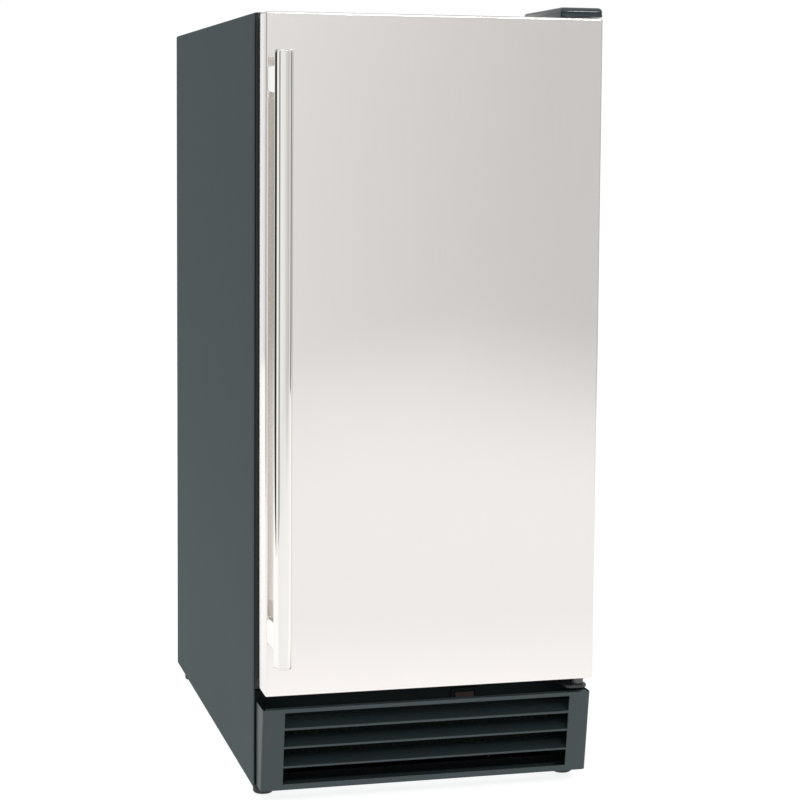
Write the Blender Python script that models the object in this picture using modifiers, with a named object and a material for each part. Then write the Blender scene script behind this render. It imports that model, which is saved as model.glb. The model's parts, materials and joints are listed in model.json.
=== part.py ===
"""Undercounter ice maker, 15-inch class: separate sub-parts, each moving group on its joint axis.

Metres, +Z up, front towards -Y. The origin is on the floor under the middle of the object.
Run it with: blender --background --python part.py
"""

import math

import bmesh
import bpy
from mathutils import Matrix, Vector

# Cabinet
FOOT_HEIGHT = 0.012
CABINET_WIDTH = 0.371
CABINET_DEPTH = 0.5646
CABINET_HEIGHT = 0.8283
CABINET_FRONT = -0.2268
SHEET = 0.0008
FOLD = 0.0020
GAP = 0.0003

HALF = CABINET_WIDTH / 2
INSIDE = HALF - SHEET - GAP
CABINET_BOTTOM = FOOT_HEIGHT
CABINET_TOP = FOOT_HEIGHT + CABINET_HEIGHT
CABINET_BACK = CABINET_FRONT + CABINET_DEPTH
ROOF = CABINET_TOP - SHEET - GAP

# Door, closed
DOOR_HALF = 0.1821
DOOR_FRONT = -0.2782
DOOR_BACK = -0.2419
DOOR_BOTTOM = 0.1232
DOOR_TOP = 0.8390
DOOR_SHEET = 0.0010
DOOR_PANEL = 0.0025
PLUG_HALF = 0.1350
PLUG_MARGIN = 0.0080
PLUG_BACK = -0.2200
HINGE_X = 0.1700
HINGE_Y = -0.2580
PIN_RADIUS = 0.0035
PIN_HOLE = 0.0042
PIN_POCKET = 0.0062

# Handle
HANDLE_X = -0.1734
HANDLE_Y = -0.3282
HANDLE_RADIUS = 0.00955
HANDLE_BOTTOM = 0.1660
HANDLE_TOP = 0.7980
POST_HEIGHTS = (0.7697, 0.1953)
POST_HALF_WIDTH = 0.0045

# Insulated compartment: inner faces of its liner
LINER = 0.0020
BIN_HALF = 0.1425
BIN_FLOOR = 0.1750
BIN_TOP = 0.7950
BIN_BACK = 0.2850
BIN_LEDGE = 0.3000
LEDGE_FRONT = 0.0300
LEDGE_BACK = 0.0700
FOAM_FLOOR = 0.1350
FOAM_LEDGE = 0.2620
FOAM_BACK = 0.3312

# Front frame and toe grille
FRAME_DEPTH = 0.0060
FRAME_BOTTOM = 0.1180
RAIL_FRONT = CABINET_FRONT + 0.0006
GRILLE_HALF = 0.18235
GRILLE_TOP = 0.1063
GRILLE_BOTTOM = 0.0145
GRILLE_TOP_Y = -0.2687
GRILLE_BOTTOM_Y = -0.2540
GRILLE_WALL = 0.0025
GRILLE_OPENINGS = ((0.0849, 0.1020), (0.0639, 0.0823), (0.0417, 0.0615), (0.0210, 0.0395))
GRILLE_OPENING_HALF = 0.1586

# Ice-making unit, hung at the back of the compartment
UNIT_HALF = 0.1242
BRACKET = 0.0020
BRACKET_FRONT = 0.1380
PLATE_FRONT = 0.1650
PLATE_BACK = 0.1840
PLATE_BOTTOM = 0.5600
PLATE_TOP = 0.7150
CURTAIN_Y = 0.1500
CURTAIN_AXIS_Z = 0.7380
CURTAIN_BOTTOM = 0.5490
TROUGH_BOTTOM = 0.4780
TROUGH_TOP = 0.5400
TROUGH_BACK = 0.2720
PUMP_X = 0.0900
PUMP_Y = 0.2450
DISTRIBUTOR_Y = 0.1760
DISTRIBUTOR_Z = 0.7350
DISTRIBUTOR_RADIUS = 0.0070

# Machine compartment
PAN_FLOOR = 0.0140
PAN_TOP = PAN_FLOOR + SHEET
ACCESS_Y = 0.3120
CONDENSER_LEFT = -0.1600
CONDENSER_RIGHT = 0.0900
FAN_X = -0.0350
FAN_Z = 0.0730
FAN_RADIUS = 0.0460
COMPRESSOR_X = -0.0850
COMPRESSOR_Y = 0.2100
MOUNT_PITCH = 0.0520
MOUNT_RADIUS = 0.0090

# Levelling legs
LEG_X = 0.1710
LEG_FRONT_Y = -0.2068
LEG_REAR_Y = 0.2932
LEG_RADIUS = 0.0110
STUD_RADIUS = 0.0040

# Rocker switch on the front rail
SWITCH_X = 0.0500
SWITCH_Z = 0.0995

# Scoop in its wall ring
SCOOP_X = -0.1200
SCOOP_Y = -0.1150
RING_Z = 0.5000

# Finish: colour, roughness, metallic
FINISHES = {
    "cabinet_paint": ((0.075, 0.095, 0.100), 0.45, 0.0),
    "brushed_stainless": ((0.70, 0.68, 0.66), 0.30, 1.0),
    "polished_chrome": ((0.80, 0.80, 0.79), 0.08, 1.0),
    "grille_plastic": ((0.058, 0.075, 0.080), 0.45, 0.0),
    "black_plastic": ((0.020, 0.022, 0.024), 0.45, 0.0),
    "gasket_rubber": ((0.030, 0.032, 0.034), 0.70, 0.0),
    "liner_plastic": ((0.80, 0.82, 0.82), 0.35, 0.0),
    "insulation": ((0.78, 0.70, 0.45), 0.90, 0.0),
    "zinc_steel": ((0.55, 0.56, 0.57), 0.40, 1.0),
    "compressor_black": ((0.015, 0.015, 0.016), 0.35, 0.0),
    "copper": ((0.72, 0.35, 0.20), 0.30, 1.0),
    "aluminium_fin": ((0.72, 0.73, 0.74), 0.35, 1.0),
    "nickel_plate": ((0.68, 0.67, 0.63), 0.25, 1.0),
    "clear_plastic": ((0.75, 0.82, 0.85), 0.15, 0.0),
    "silicone_hose": ((0.78, 0.80, 0.80), 0.45, 0.0),
    "scoop_plastic": ((0.75, 0.80, 0.84), 0.25, 0.0),
    "foot_plastic": ((0.030, 0.030, 0.032), 0.60, 0.0),
}

LEGS = (
    ("leg_front_left", -LEG_X, LEG_FRONT_Y),
    ("leg_front_right", LEG_X, LEG_FRONT_Y),
    ("leg_rear_left", -LEG_X, LEG_REAR_Y),
    ("leg_rear_right", LEG_X, LEG_REAR_Y),
)
# Rear ports: name, x, z, radius
WATER_PORT = ("water_inlet_fitting", 0.1250, 0.0900, 0.0110)
DRAIN_PORT = ("drain_outlet_fitting", 0.0750, 0.0450, 0.0100)
POWER_PORT = ("power_inlet", -0.1500, 0.0550, 0.0090)
DRAIN_HOLE = (0.0, -0.0300)

FRAMES = {
    "X": Matrix(((0, 0, 1), (1, 0, 0), (0, 1, 0))),
    "Y": Matrix(((1, 0, 0), (0, 0, -1), (0, 1, 0))),
    "Z": Matrix.Identity(3),
}
AXES = {"X": Vector((1, 0, 0)), "Y": Vector((0, 1, 0)), "Z": Vector((0, 0, 1))}


def clear_scene():
    for old in list(bpy.data.objects):
        bpy.data.objects.remove(old, do_unlink=True)


def new_collection(name):
    collection = bpy.data.collections.new(name)
    bpy.context.scene.collection.children.link(collection)
    return collection


def finish_material(name):
    if name in bpy.data.materials:
        return bpy.data.materials[name]
    colour, roughness, metallic = FINISHES[name]
    material = bpy.data.materials.new(name)
    material.use_nodes = True
    shader = material.node_tree.nodes["Principled BSDF"]
    shader.inputs["Base Color"].default_value = (*colour, 1.0)
    shader.inputs["Roughness"].default_value = roughness
    shader.inputs["Metallic"].default_value = metallic
    return material


def new_object(name, data, finish):
    obj = bpy.data.objects.new(name, data)
    PARTS.objects.link(obj)
    if finish:
        data.materials.append(finish_material(finish))
    return obj


def from_bmesh(name, bm, finish):
    mesh = bpy.data.meshes.new(name)
    bm.to_mesh(mesh)
    bm.free()
    return new_object(name, mesh, finish)


def box(name, low, high, finish=None, bevel=0.0, segments=2):
    """A block between two corners, with its edges rounded by `bevel`."""
    low, high = Vector(low), Vector(high)
    bm = bmesh.new()
    bmesh.ops.create_cube(bm, size=1.0)
    bmesh.ops.scale(bm, vec=high - low, verts=bm.verts)
    obj = from_bmesh(name, bm, finish)
    obj.location = (low + high) / 2
    if bevel:
        round_edges(obj, bevel, segments)
    return obj


def round_edges(obj, width, segments=2):
    modifier = obj.modifiers.new("rounded_edges", "BEVEL")
    modifier.width = width
    modifier.segments = segments
    modifier.limit_method = "ANGLE"


def cylinder(name, start, end, radius, finish=None, sides=24):
    """A round bar from `start` to `end`."""
    start, end = Vector(start), Vector(end)
    bm = bmesh.new()
    bmesh.ops.create_cone(
        bm,
        cap_ends=True,
        segments=sides,
        radius1=radius,
        radius2=radius,
        depth=(end - start).length,
    )
    obj = from_bmesh(name, bm, finish)
    obj.location = (start + end) / 2
    obj.rotation_euler = (end - start).to_track_quat("Z", "Y").to_euler()
    shade_round(obj)
    return obj


def shade_round(obj):
    obj.data.shade_smooth()
    obj.data.set_sharp_from_angle(angle=math.radians(35))


def turned(name, profile, centre, finish=None, steps=24):
    """A profile of (radius, height) points, listed top to bottom, turned about a vertical axis."""
    mesh = bpy.data.meshes.new(name)
    points = [(radius, 0.0, height) for radius, height in profile]
    edges = [(i, i + 1) for i in range(len(points) - 1)]
    mesh.from_pydata(points, edges, [])
    obj = new_object(name, mesh, finish)
    obj.location = centre
    screw = obj.modifiers.new("turn", "SCREW")
    screw.steps = steps
    screw.render_steps = steps
    screw.use_merge_vertices = True
    screw.merge_threshold = 0.00001
    return obj


def tube(name, points, radius, finish=None, rings=2):
    """A round wire or pipe through the points, with its ends capped."""
    curve = bpy.data.curves.new(name, "CURVE")
    curve.dimensions = "3D"
    curve.bevel_depth = radius
    curve.bevel_resolution = rings
    curve.use_fill_caps = True
    spline = curve.splines.new("POLY")
    spline.points.add(len(points) - 1)
    for target, point in zip(spline.points, points):
        target.co = (*point, 1.0)
    return new_object(name, curve, finish)


def outline(name, points, along, low, high, finish=None):
    """A flat outline extruded along an axis from `low` to `high`.

    Its points are (y, z) along X, (x, z) along Y and (x, y) along Z.
    """
    curve = bpy.data.curves.new(name, "CURVE")
    curve.dimensions = "2D"
    curve.fill_mode = "BOTH"
    curve.extrude = (high - low) / 2
    spline = curve.splines.new("POLY")
    spline.points.add(len(points) - 1)
    for target, point in zip(spline.points, points):
        target.co = (*point, 0.0, 1.0)
    spline.use_cyclic_u = True
    obj = new_object(name, curve, finish)
    obj.rotation_euler = FRAMES[along].to_euler()
    obj.location = AXES[along] * (low + high) / 2
    return obj


def solid(name, points, along, low, high, finish=None):
    """An extruded outline as a welded mesh, which a Boolean can use."""
    return as_mesh(outline(name, points, along, low, high, finish))


def as_mesh(source):
    """Replaces a curve object with a mesh of its own shape."""
    bpy.context.view_layer.update()
    evaluated = source.evaluated_get(bpy.context.evaluated_depsgraph_get())
    mesh = bpy.data.meshes.new_from_object(evaluated)
    bm = bmesh.new()
    bm.from_mesh(mesh)
    bmesh.ops.remove_doubles(bm, verts=bm.verts, dist=0.000001)
    bmesh.ops.recalc_face_normals(bm, faces=bm.faces)
    bm.to_mesh(mesh)
    bm.free()
    name, matrix = source.name, source.matrix_world.copy()
    bpy.data.objects.remove(source, do_unlink=True)
    obj = new_object(name, mesh, None)
    obj.matrix_world = matrix
    return obj


def combine(target, operation, operands):
    """Cuts the operands from the target, or adds them to it."""
    for operand in operands:
        PARTS.objects.unlink(operand)
        CUTTERS.objects.link(operand)
        operand.hide_render = True
        operand.display_type = "WIRE"
        modifier = target.modifiers.new(operand.name, "BOOLEAN")
        modifier.operation = operation
        modifier.object = operand
    return target


def cut(target, *cutters):
    return combine(target, "DIFFERENCE", cutters)


def add(target, *pieces):
    return combine(target, "UNION", pieces)


def ring(name, low, high, hole_low, hole_high, finish):
    """A block with a rectangular hole through its depth, along Y."""
    frame = box(name, low, high, finish)
    hole = box(
        f"{name}_hole",
        (hole_low[0], low[1] - 0.01, hole_low[1]),
        (hole_high[0], high[1] + 0.01, hole_high[1]),
    )
    return cut(frame, hole)


def arc(centre, radius, start, end, steps=4):
    """Points of an arc from one angle to another, in degrees."""
    angles = [math.radians(start + (end - start) * i / steps) for i in range(steps + 1)]
    return [(centre[0] + radius * math.cos(a), centre[1] + radius * math.sin(a)) for a in angles]


def rounded_route(points, radius, steps=4):
    """The route of a bent pipe: straight runs with their corners rounded."""
    points = [Vector(point) for point in points]
    route = [points[0]]
    for before, corner, after in zip(points, points[1:], points[2:]):
        reach = min(radius, (corner - before).length / 2, (after - corner).length / 2)
        start = corner + (before - corner).normalized() * reach
        end = corner + (after - corner).normalized() * reach
        for i in range(steps + 1):
            t = i / steps
            route.append(start * (1 - t) ** 2 + corner * 2 * t * (1 - t) + end * t**2)
    return route + [points[-1]]


def pivot(name, location, *pieces):
    """An empty on a joint's axis, with the pieces that move about it as its children."""
    empty = bpy.data.objects.new(name, None)
    empty.location = location
    empty.empty_display_size = 0.03
    PARTS.objects.link(empty)
    for piece in pieces:
        piece.location = Vector(piece.location) - empty.location
        piece.parent = empty


def make_cabinet():
    inner = HALF - SHEET
    profile = (
        [(-HALF, CABINET_BOTTOM)]
        + arc((-HALF + FOLD, CABINET_TOP - FOLD), FOLD, 180, 90)
        + arc((HALF - FOLD, CABINET_TOP - FOLD), FOLD, 90, 0)
        + [(HALF, CABINET_BOTTOM), (inner, CABINET_BOTTOM)]
        + [(inner, CABINET_TOP - SHEET), (-inner, CABINET_TOP - SHEET), (-inner, CABINET_BOTTOM)]
    )
    outline("cabinet_shell", profile, "Y", CABINET_FRONT, CABINET_BACK, "cabinet_paint")
    make_rear_panels()
    make_base_pan()


def make_rear_panels():
    lip = ACCESS_Y + SHEET + GAP
    outer = FOAM_BACK + GAP + SHEET
    inner = FOAM_BACK + GAP
    corner = FOAM_LEDGE
    profile = [
        (outer, ROOF - 0.003),
        (inner, ROOF - 0.003),
        (inner, corner - GAP),
        (lip, corner - GAP),
        (lip, corner - GAP - SHEET),
        (outer, corner - GAP - SHEET),
    ]
    outline("rear_panel", profile, "X", -INSIDE, INSIDE, "zinc_steel")
    panel = box(
        "rear_access_panel",
        (-INSIDE, ACCESS_Y, PAN_FLOOR),
        (INSIDE, ACCESS_Y + SHEET, corner - GAP),
        "zinc_steel",
    )
    slots = []
    for side in (-1, 1):
        for row in range(11):
            height = 0.135 + row * 0.0100
            low_x, high_x = sorted((side * 0.020, side * 0.140))
            slots.append(
                box(
                    f"vent_slot_{side}_{row}",
                    (low_x, ACCESS_Y - 0.01, height),
                    (high_x, ACCESS_Y + 0.01, height + 0.0038),
                )
            )
    for name, x, z, radius in (WATER_PORT, DRAIN_PORT, POWER_PORT):
        start, end = (x, ACCESS_Y - 0.01, z), (x, ACCESS_Y + 0.01, z)
        slots.append(cylinder(f"{name}_hole", start, end, radius + GAP, sides=20))
    cut(panel, *slots)


def make_base_pan():
    """A tray open at both ends, with a clearance hole for each leg's stud."""
    rim = PAN_TOP + 0.020
    edge = INSIDE - SHEET
    profile = [
        (-INSIDE, PAN_FLOOR),
        (INSIDE, PAN_FLOOR),
        (INSIDE, rim),
        (edge, rim),
        (edge, PAN_TOP),
        (-edge, PAN_TOP),
        (-edge, rim),
        (-INSIDE, rim),
    ]
    front, back = RAIL_FRONT + SHEET + GAP, ACCESS_Y - GAP
    pan = solid("base_pan", profile, "Y", front, back, "zinc_steel")
    holes = []
    for name, x, y in LEGS:
        start, end = (x, y, PAN_FLOOR - 0.01), (x, y, PAN_TOP + 0.01)
        holes.append(cylinder(f"{name}_hole", start, end, STUD_RADIUS + 0.0008, sides=16))
    cut(pan, *holes)


def compartment_profile(grow, front):
    """The compartment's side outline, (y, z), grown outwards from the liner's inner faces."""
    lean = grow * 0.9
    return [
        (front, BIN_FLOOR - grow),
        (LEDGE_FRONT + lean, BIN_FLOOR - grow),
        (LEDGE_BACK + lean, BIN_LEDGE - grow),
        (BIN_BACK + grow, BIN_LEDGE - grow),
        (BIN_BACK + grow, BIN_TOP + grow),
        (front, BIN_TOP + grow),
    ]


def make_compartment():
    front = CABINET_FRONT + FRAME_DEPTH + GAP
    foam_profile = [
        (front, FOAM_FLOOR),
        (LEDGE_BACK, FOAM_FLOOR),
        (LEDGE_BACK + 0.035, FOAM_LEDGE),
        (FOAM_BACK, FOAM_LEDGE),
        (FOAM_BACK, ROOF - GAP),
        (front, ROOF - GAP),
    ]
    half = INSIDE - GAP
    foam = solid("insulation_foam", foam_profile, "X", -half, half, "insulation")
    room = compartment_profile(LINER + GAP, front - 0.01)
    reach = BIN_HALF + LINER + GAP
    cut(foam, solid("foam_room", room, "X", -reach, reach), drain_cutter("foam_drain", 0.0075))

    reach = BIN_HALF + LINER
    liner = solid("inner_liner", compartment_profile(LINER, front), "X", -reach, reach, "liner_plastic")
    room = compartment_profile(0.0, front - 0.01)
    space = solid("liner_room", room, "X", -BIN_HALF, BIN_HALF)
    cut(liner, space, drain_cutter("liner_drain", 0.0075))
    ring(
        "front_frame",
        (-INSIDE, CABINET_FRONT, FRAME_BOTTOM),
        (INSIDE, CABINET_FRONT + FRAME_DEPTH, ROOF),
        (-BIN_HALF, BIN_FLOOR),
        (BIN_HALF, BIN_TOP),
        "black_plastic",
    )


def drain_cutter(name, radius):
    x, y = DRAIN_HOLE
    return cylinder(name, (x, y, 0.10), (x, y, BIN_FLOOR + 0.01), radius, sides=16)


def make_front_rail():
    """The sheet frame behind the toe grille, with the air opening and the switch's cut-out."""
    rail = ring(
        "front_rail",
        (-INSIDE, RAIL_FRONT, PAN_FLOOR),
        (INSIDE, RAIL_FRONT + SHEET, FRAME_BOTTOM - GAP),
        (-0.150, 0.025),
        (0.150, 0.088),
        "black_plastic",
    )
    hole = box(
        "switch_hole",
        (SWITCH_X - 0.0135, RAIL_FRONT - 0.01, SWITCH_Z - 0.0065),
        (SWITCH_X + 0.0135, RAIL_FRONT + 0.01, SWITCH_Z + 0.0065),
    )
    cut(rail, hole)


def grille_face(height):
    """How far forward the leaning face of the toe grille is at a height."""
    share = (height - GRILLE_BOTTOM) / (GRILLE_TOP - GRILLE_BOTTOM)
    return GRILLE_BOTTOM_Y + share * (GRILLE_TOP_Y - GRILLE_BOTTOM_Y)


def make_toe_grille():
    back = CABINET_FRONT - GAP
    wall = GRILLE_WALL
    profile = [
        (GRILLE_TOP_Y, GRILLE_TOP),
        (GRILLE_BOTTOM_Y, GRILLE_BOTTOM),
        (back, GRILLE_BOTTOM),
        (back, GRILLE_TOP),
    ]
    grille = solid("toe_grille", profile, "X", -GRILLE_HALF, GRILLE_HALF, "grille_plastic")
    lip_back = GRILLE_TOP_Y + 0.0085
    low, high = GRILLE_BOTTOM + wall, GRILLE_TOP - wall
    room = [
        (lip_back, GRILLE_TOP + 0.01),
        (lip_back, high),
        (grille_face(high) + wall, high),
        (grille_face(low) + wall, low),
        (back + 0.01, low),
        (back + 0.01, GRILLE_TOP + 0.01),
    ]
    inner = GRILLE_HALF - wall
    cutters = [solid("grille_room", room, "X", -inner, inner)]
    blades = []
    reach = 0.0060
    for index, (bottom, top) in enumerate(GRILLE_OPENINGS):
        opening = [
            (grille_face(bottom) - reach, bottom),
            (grille_face(bottom) + reach, bottom),
            (grille_face(top) + reach, top),
            (grille_face(top) - reach, top),
        ]
        half = GRILLE_OPENING_HALF
        cutters.append(solid(f"grille_opening_{index}", opening, "X", -half, half))
        if index < len(GRILLE_OPENINGS) - 1:
            blades.append(grille_blade(index, bottom))
    cut(grille, *cutters)
    add(grille, *blades)


def grille_blade(index, top):
    """A louvre blade behind the bar under an opening, rising to the back."""
    thick, depth, rise = 0.0022, 0.0190, 0.0085
    front = grille_face(top) + 0.0006
    blade = [
        (front, top - thick - 0.0001),
        (front + depth, top - thick + rise),
        (front + depth, top + rise),
        (front, top - 0.0001),
    ]
    half = GRILLE_HALF - GRILLE_WALL / 2
    return solid(f"grille_blade_{index}", blade, "X", -half, half)


def make_hinges():
    """The fixed halves of the door's two hinges, with the cover over the upper one."""
    plate_low, plate_high = CABINET_TOP + GAP, CABINET_TOP + GAP + 0.0020
    plate = box(
        "upper_hinge_bracket",
        (0.1440, HINGE_Y - 0.0080, plate_low),
        (0.1810, -0.1400, plate_high),
        "zinc_steel",
    )
    hole = cylinder(
        "upper_pin_hole",
        (HINGE_X, HINGE_Y, plate_low - 0.01),
        (HINGE_X, HINGE_Y, plate_high + 0.01),
        PIN_RADIUS + GAP,
        sides=16,
    )
    cut(plate, hole)
    head, top = 0.0065, plate_high + GAP
    bottom = DOOR_TOP - 0.0140
    profile = [(0, top + 0.0025), (head, top + 0.0025), (head, top), (PIN_RADIUS, top)]
    profile += [(PIN_RADIUS, bottom), (0, bottom)]
    turned("upper_hinge_pin", profile, (HINGE_X, HINGE_Y, 0), "zinc_steel", steps=16)
    make_hinge_cover(plate_low)

    shelf_low, shelf_high = 0.1108, 0.1138
    back = CABINET_FRONT - GAP
    profile = [
        (HINGE_Y - 0.0110, shelf_low),
        (back, shelf_low),
        (back, shelf_high + 0.0080),
        (back - 0.0020, shelf_high + 0.0080),
        (back - 0.0020, shelf_high),
        (HINGE_Y - 0.0110, shelf_high),
    ]
    outline("lower_hinge_bracket", profile, "X", 0.1500, 0.1795, "black_plastic")
    collar, low = 0.0070, shelf_high + GAP
    top = DOOR_BOTTOM + 0.0140
    seat = DOOR_BOTTOM - GAP
    profile = [(0, top), (PIN_RADIUS, top), (PIN_RADIUS, seat), (collar, seat), (collar, low), (0, low)]
    turned("lower_hinge_pin", profile, (HINGE_X, HINGE_Y, 0), "zinc_steel", steps=16)


def make_hinge_cover(bottom):
    front, back, top, wall = -0.2705, -0.1300, bottom + 0.0102, 0.0016
    nose = [(back, bottom), (back, top)] + arc((front + 0.0100, top - 0.0100), 0.0100, 90, 180, 5)
    nose += [(front, bottom)]
    cover = solid("upper_hinge_cover", nose, "X", 0.1390, HALF, "black_plastic")
    radius = 0.0100 - wall
    inner = [(back - wall, bottom - 0.01), (back - wall, top - wall)]
    inner += arc((front + 0.0100, top - 0.0100), radius, 90, 180, 5)
    inner += [(front + wall, bottom - 0.01)]
    cut(cover, solid("hinge_cover_room", inner, "X", 0.1390 + wall, HALF - wall))


def make_door():
    """Stainless outer skin, foam core, white inner panel, gasket and handle."""
    low = (-DOOR_HALF, DOOR_FRONT, DOOR_BOTTOM)
    skin = box("door_skin", low, (DOOR_HALF, DOOR_BACK, DOOR_TOP), "brushed_stainless", 0.0012)
    sheet = DOOR_SHEET
    room = box(
        "door_room",
        (-DOOR_HALF + sheet, DOOR_FRONT + sheet, DOOR_BOTTOM + sheet),
        (DOOR_HALF - sheet, DOOR_BACK + 0.01, DOOR_TOP - sheet),
    )
    cut(skin, room, hinge_axis_cutter("skin_pin_holes", PIN_HOLE, 0.1000, 0.8500))
    half = DOOR_HALF - sheet - GAP
    bottom, top = DOOR_BOTTOM + sheet + GAP, DOOR_TOP - sheet - GAP
    core = box(
        "door_core",
        (-half, DOOR_FRONT + sheet + GAP, bottom),
        (half, DOOR_BACK - DOOR_PANEL - 2 * GAP, top),
        "insulation",
    )
    pockets = (
        hinge_axis_cutter("lower_pocket", PIN_POCKET, bottom - 0.01, DOOR_BOTTOM + 0.0160),
        hinge_axis_cutter("upper_pocket", PIN_POCKET, DOOR_TOP - 0.0160, top + 0.01),
    )
    cut(core, *pockets)
    add(core, plug_block("core_bump", DOOR_PANEL + GAP, 0.0100))
    panel = box(
        "door_liner",
        (-half, DOOR_BACK - GAP - DOOR_PANEL, bottom),
        (half, DOOR_BACK - GAP, top),
        "liner_plastic",
    )
    plug = plug_block("door_plug", 0.0, 0.0100)
    round_edges(plug, 0.0060)
    trim_back = DOOR_BACK - GAP - DOOR_PANEL / 2
    cut(plug, box("plug_trim", (-HALF, DOOR_FRONT, DOOR_BOTTOM), (HALF, trim_back, DOOR_TOP)))
    add(panel, plug)
    cut(panel, plug_block("plug_room", DOOR_PANEL, 0.0200))
    gasket = ring(
        "door_gasket",
        (-HINGE_X, DOOR_BACK, 0.1400),
        (HINGE_X, CABINET_FRONT - GAP, 0.8300),
        (-0.1520, 0.1580),
        (0.1520, 0.8120),
        "gasket_rubber",
    )
    pieces = make_handle()
    pivot("door_axis", (HINGE_X, HINGE_Y, DOOR_BOTTOM), skin, core, panel, gasket, *pieces)


def plug_block(name, inset, reach):
    """The raised middle of the door's inner panel, set in by `inset`, reaching forward by `reach`."""
    low = (-PLUG_HALF + inset, DOOR_BACK - reach, BIN_FLOOR + PLUG_MARGIN + inset)
    high = (PLUG_HALF - inset, PLUG_BACK - inset, BIN_TOP - PLUG_MARGIN - inset)
    return box(name, low, high)


def make_handle():
    """The bar and its two posts, in a list."""
    bar = cylinder(
        "handle_bar",
        (HANDLE_X, HANDLE_Y, HANDLE_BOTTOM),
        (HANDLE_X, HANDLE_Y, HANDLE_TOP),
        HANDLE_RADIUS,
        "polished_chrome",
        32,
    )
    round_edges(bar, 0.0012)
    return [bar] + [handle_post(name, z) for name, z in zip(("upper", "lower"), POST_HEIGHTS)]


def hinge_axis_cutter(name, radius, low, high):
    return cylinder(name, (HINGE_X, HINGE_Y, low), (HINGE_X, HINGE_Y, high), radius, sides=16)


def handle_post(side, height):
    """A waisted post: broad at the door, narrow in the middle and broadest round the bar."""
    start, end = DOOR_FRONT - GAP, HANDLE_Y - HANDLE_RADIUS * 0.45
    steps = 8
    upper = []
    for i in range(steps + 1):
        t = i / steps
        half = 0.0125 - 0.0045 * math.sin(math.pi * min(1.0, t * 1.25)) + 0.0035 * t**3
        upper.append((start + (end - start) * t, half))
    points = [(y, height + half) for y, half in upper]
    points += [(y, height - half) for y, half in reversed(upper)]
    low, high = HANDLE_X - POST_HALF_WIDTH, HANDLE_X + POST_HALF_WIDTH
    post = solid(f"handle_post_{side}", points, "X", low, high, "polished_chrome")
    seat = cylinder(
        f"handle_seat_{side}",
        (HANDLE_X, HANDLE_Y, height - 0.03),
        (HANDLE_X, HANDLE_Y, height + 0.03),
        HANDLE_RADIUS + GAP,
        sides=32,
    )
    return cut(post, seat)


def make_ice_unit():
    """Freezing plate with its coil, side brackets, distributor, trough, pump and curtain."""
    plate = box(
        "evaporator_plate",
        (-UNIT_HALF, PLATE_FRONT, PLATE_BOTTOM),
        (UNIT_HALF, PLATE_BACK, PLATE_TOP),
        "nickel_plate",
    )
    cut(plate, *plate_pockets())
    coil = []
    runs, reach = 6, 0.105
    pitch = (PLATE_TOP - PLATE_BOTTOM - 0.030) / (runs - 1)
    for run in range(runs):
        z = PLATE_BOTTOM + 0.015 + run * pitch
        side = 1 if run % 2 else -1
        coil += [(side * reach, 0.1895, z), (-side * reach, 0.1895, z)]
    tube("evaporator_coil", rounded_route(coil, 0.010), 0.0048, "copper", 2)
    brackets()
    distributor = cylinder(
        "water_distributor",
        (-UNIT_HALF + GAP, DISTRIBUTOR_Y, DISTRIBUTOR_Z),
        (UNIT_HALF - GAP, DISTRIBUTOR_Y, DISTRIBUTOR_Z),
        DISTRIBUTOR_RADIUS,
        "clear_plastic",
        20,
    )
    spray = box(
        "distributor_slot",
        (-0.110, DISTRIBUTOR_Y - 0.0010, DISTRIBUTOR_Z - 0.0100),
        (0.110, DISTRIBUTOR_Y + 0.0010, DISTRIBUTOR_Z - 0.0040),
    )
    cut(distributor, spray)
    make_trough_and_pump()
    make_curtain()


def plate_pockets():
    """The square cells that each freeze one piece of ice."""
    columns, rows, pitch, cell = 8, 5, 0.0295, 0.0255
    depth = 0.0130
    cells = []
    for column in range(columns):
        for row in range(rows):
            x = (column - (columns - 1) / 2) * pitch
            z = (PLATE_BOTTOM + PLATE_TOP) / 2 + (row - (rows - 1) / 2) * pitch
            low = (x - cell / 2, PLATE_FRONT - 0.005, z - cell / 2)
            high = (x + cell / 2, PLATE_FRONT + depth, z + cell / 2)
            cells.append(box(f"cell_{column}_{row}", low, high))
    return cells


def brackets():
    for side, low in (("left", -UNIT_HALF - GAP - BRACKET), ("right", UNIT_HALF + GAP)):
        bracket = box(
            f"evaporator_bracket_{side}",
            (low, BRACKET_FRONT, TROUGH_BOTTOM),
            (low + BRACKET, BIN_BACK - GAP, 0.7650),
            "zinc_steel",
        )
        hole = cylinder(
            f"curtain_hole_{side}",
            (low - 0.01, CURTAIN_Y, CURTAIN_AXIS_Z),
            (low + 0.01, CURTAIN_Y, CURTAIN_AXIS_Z),
            0.0026,
            sides=16,
        )
        cut(bracket, hole)


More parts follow.
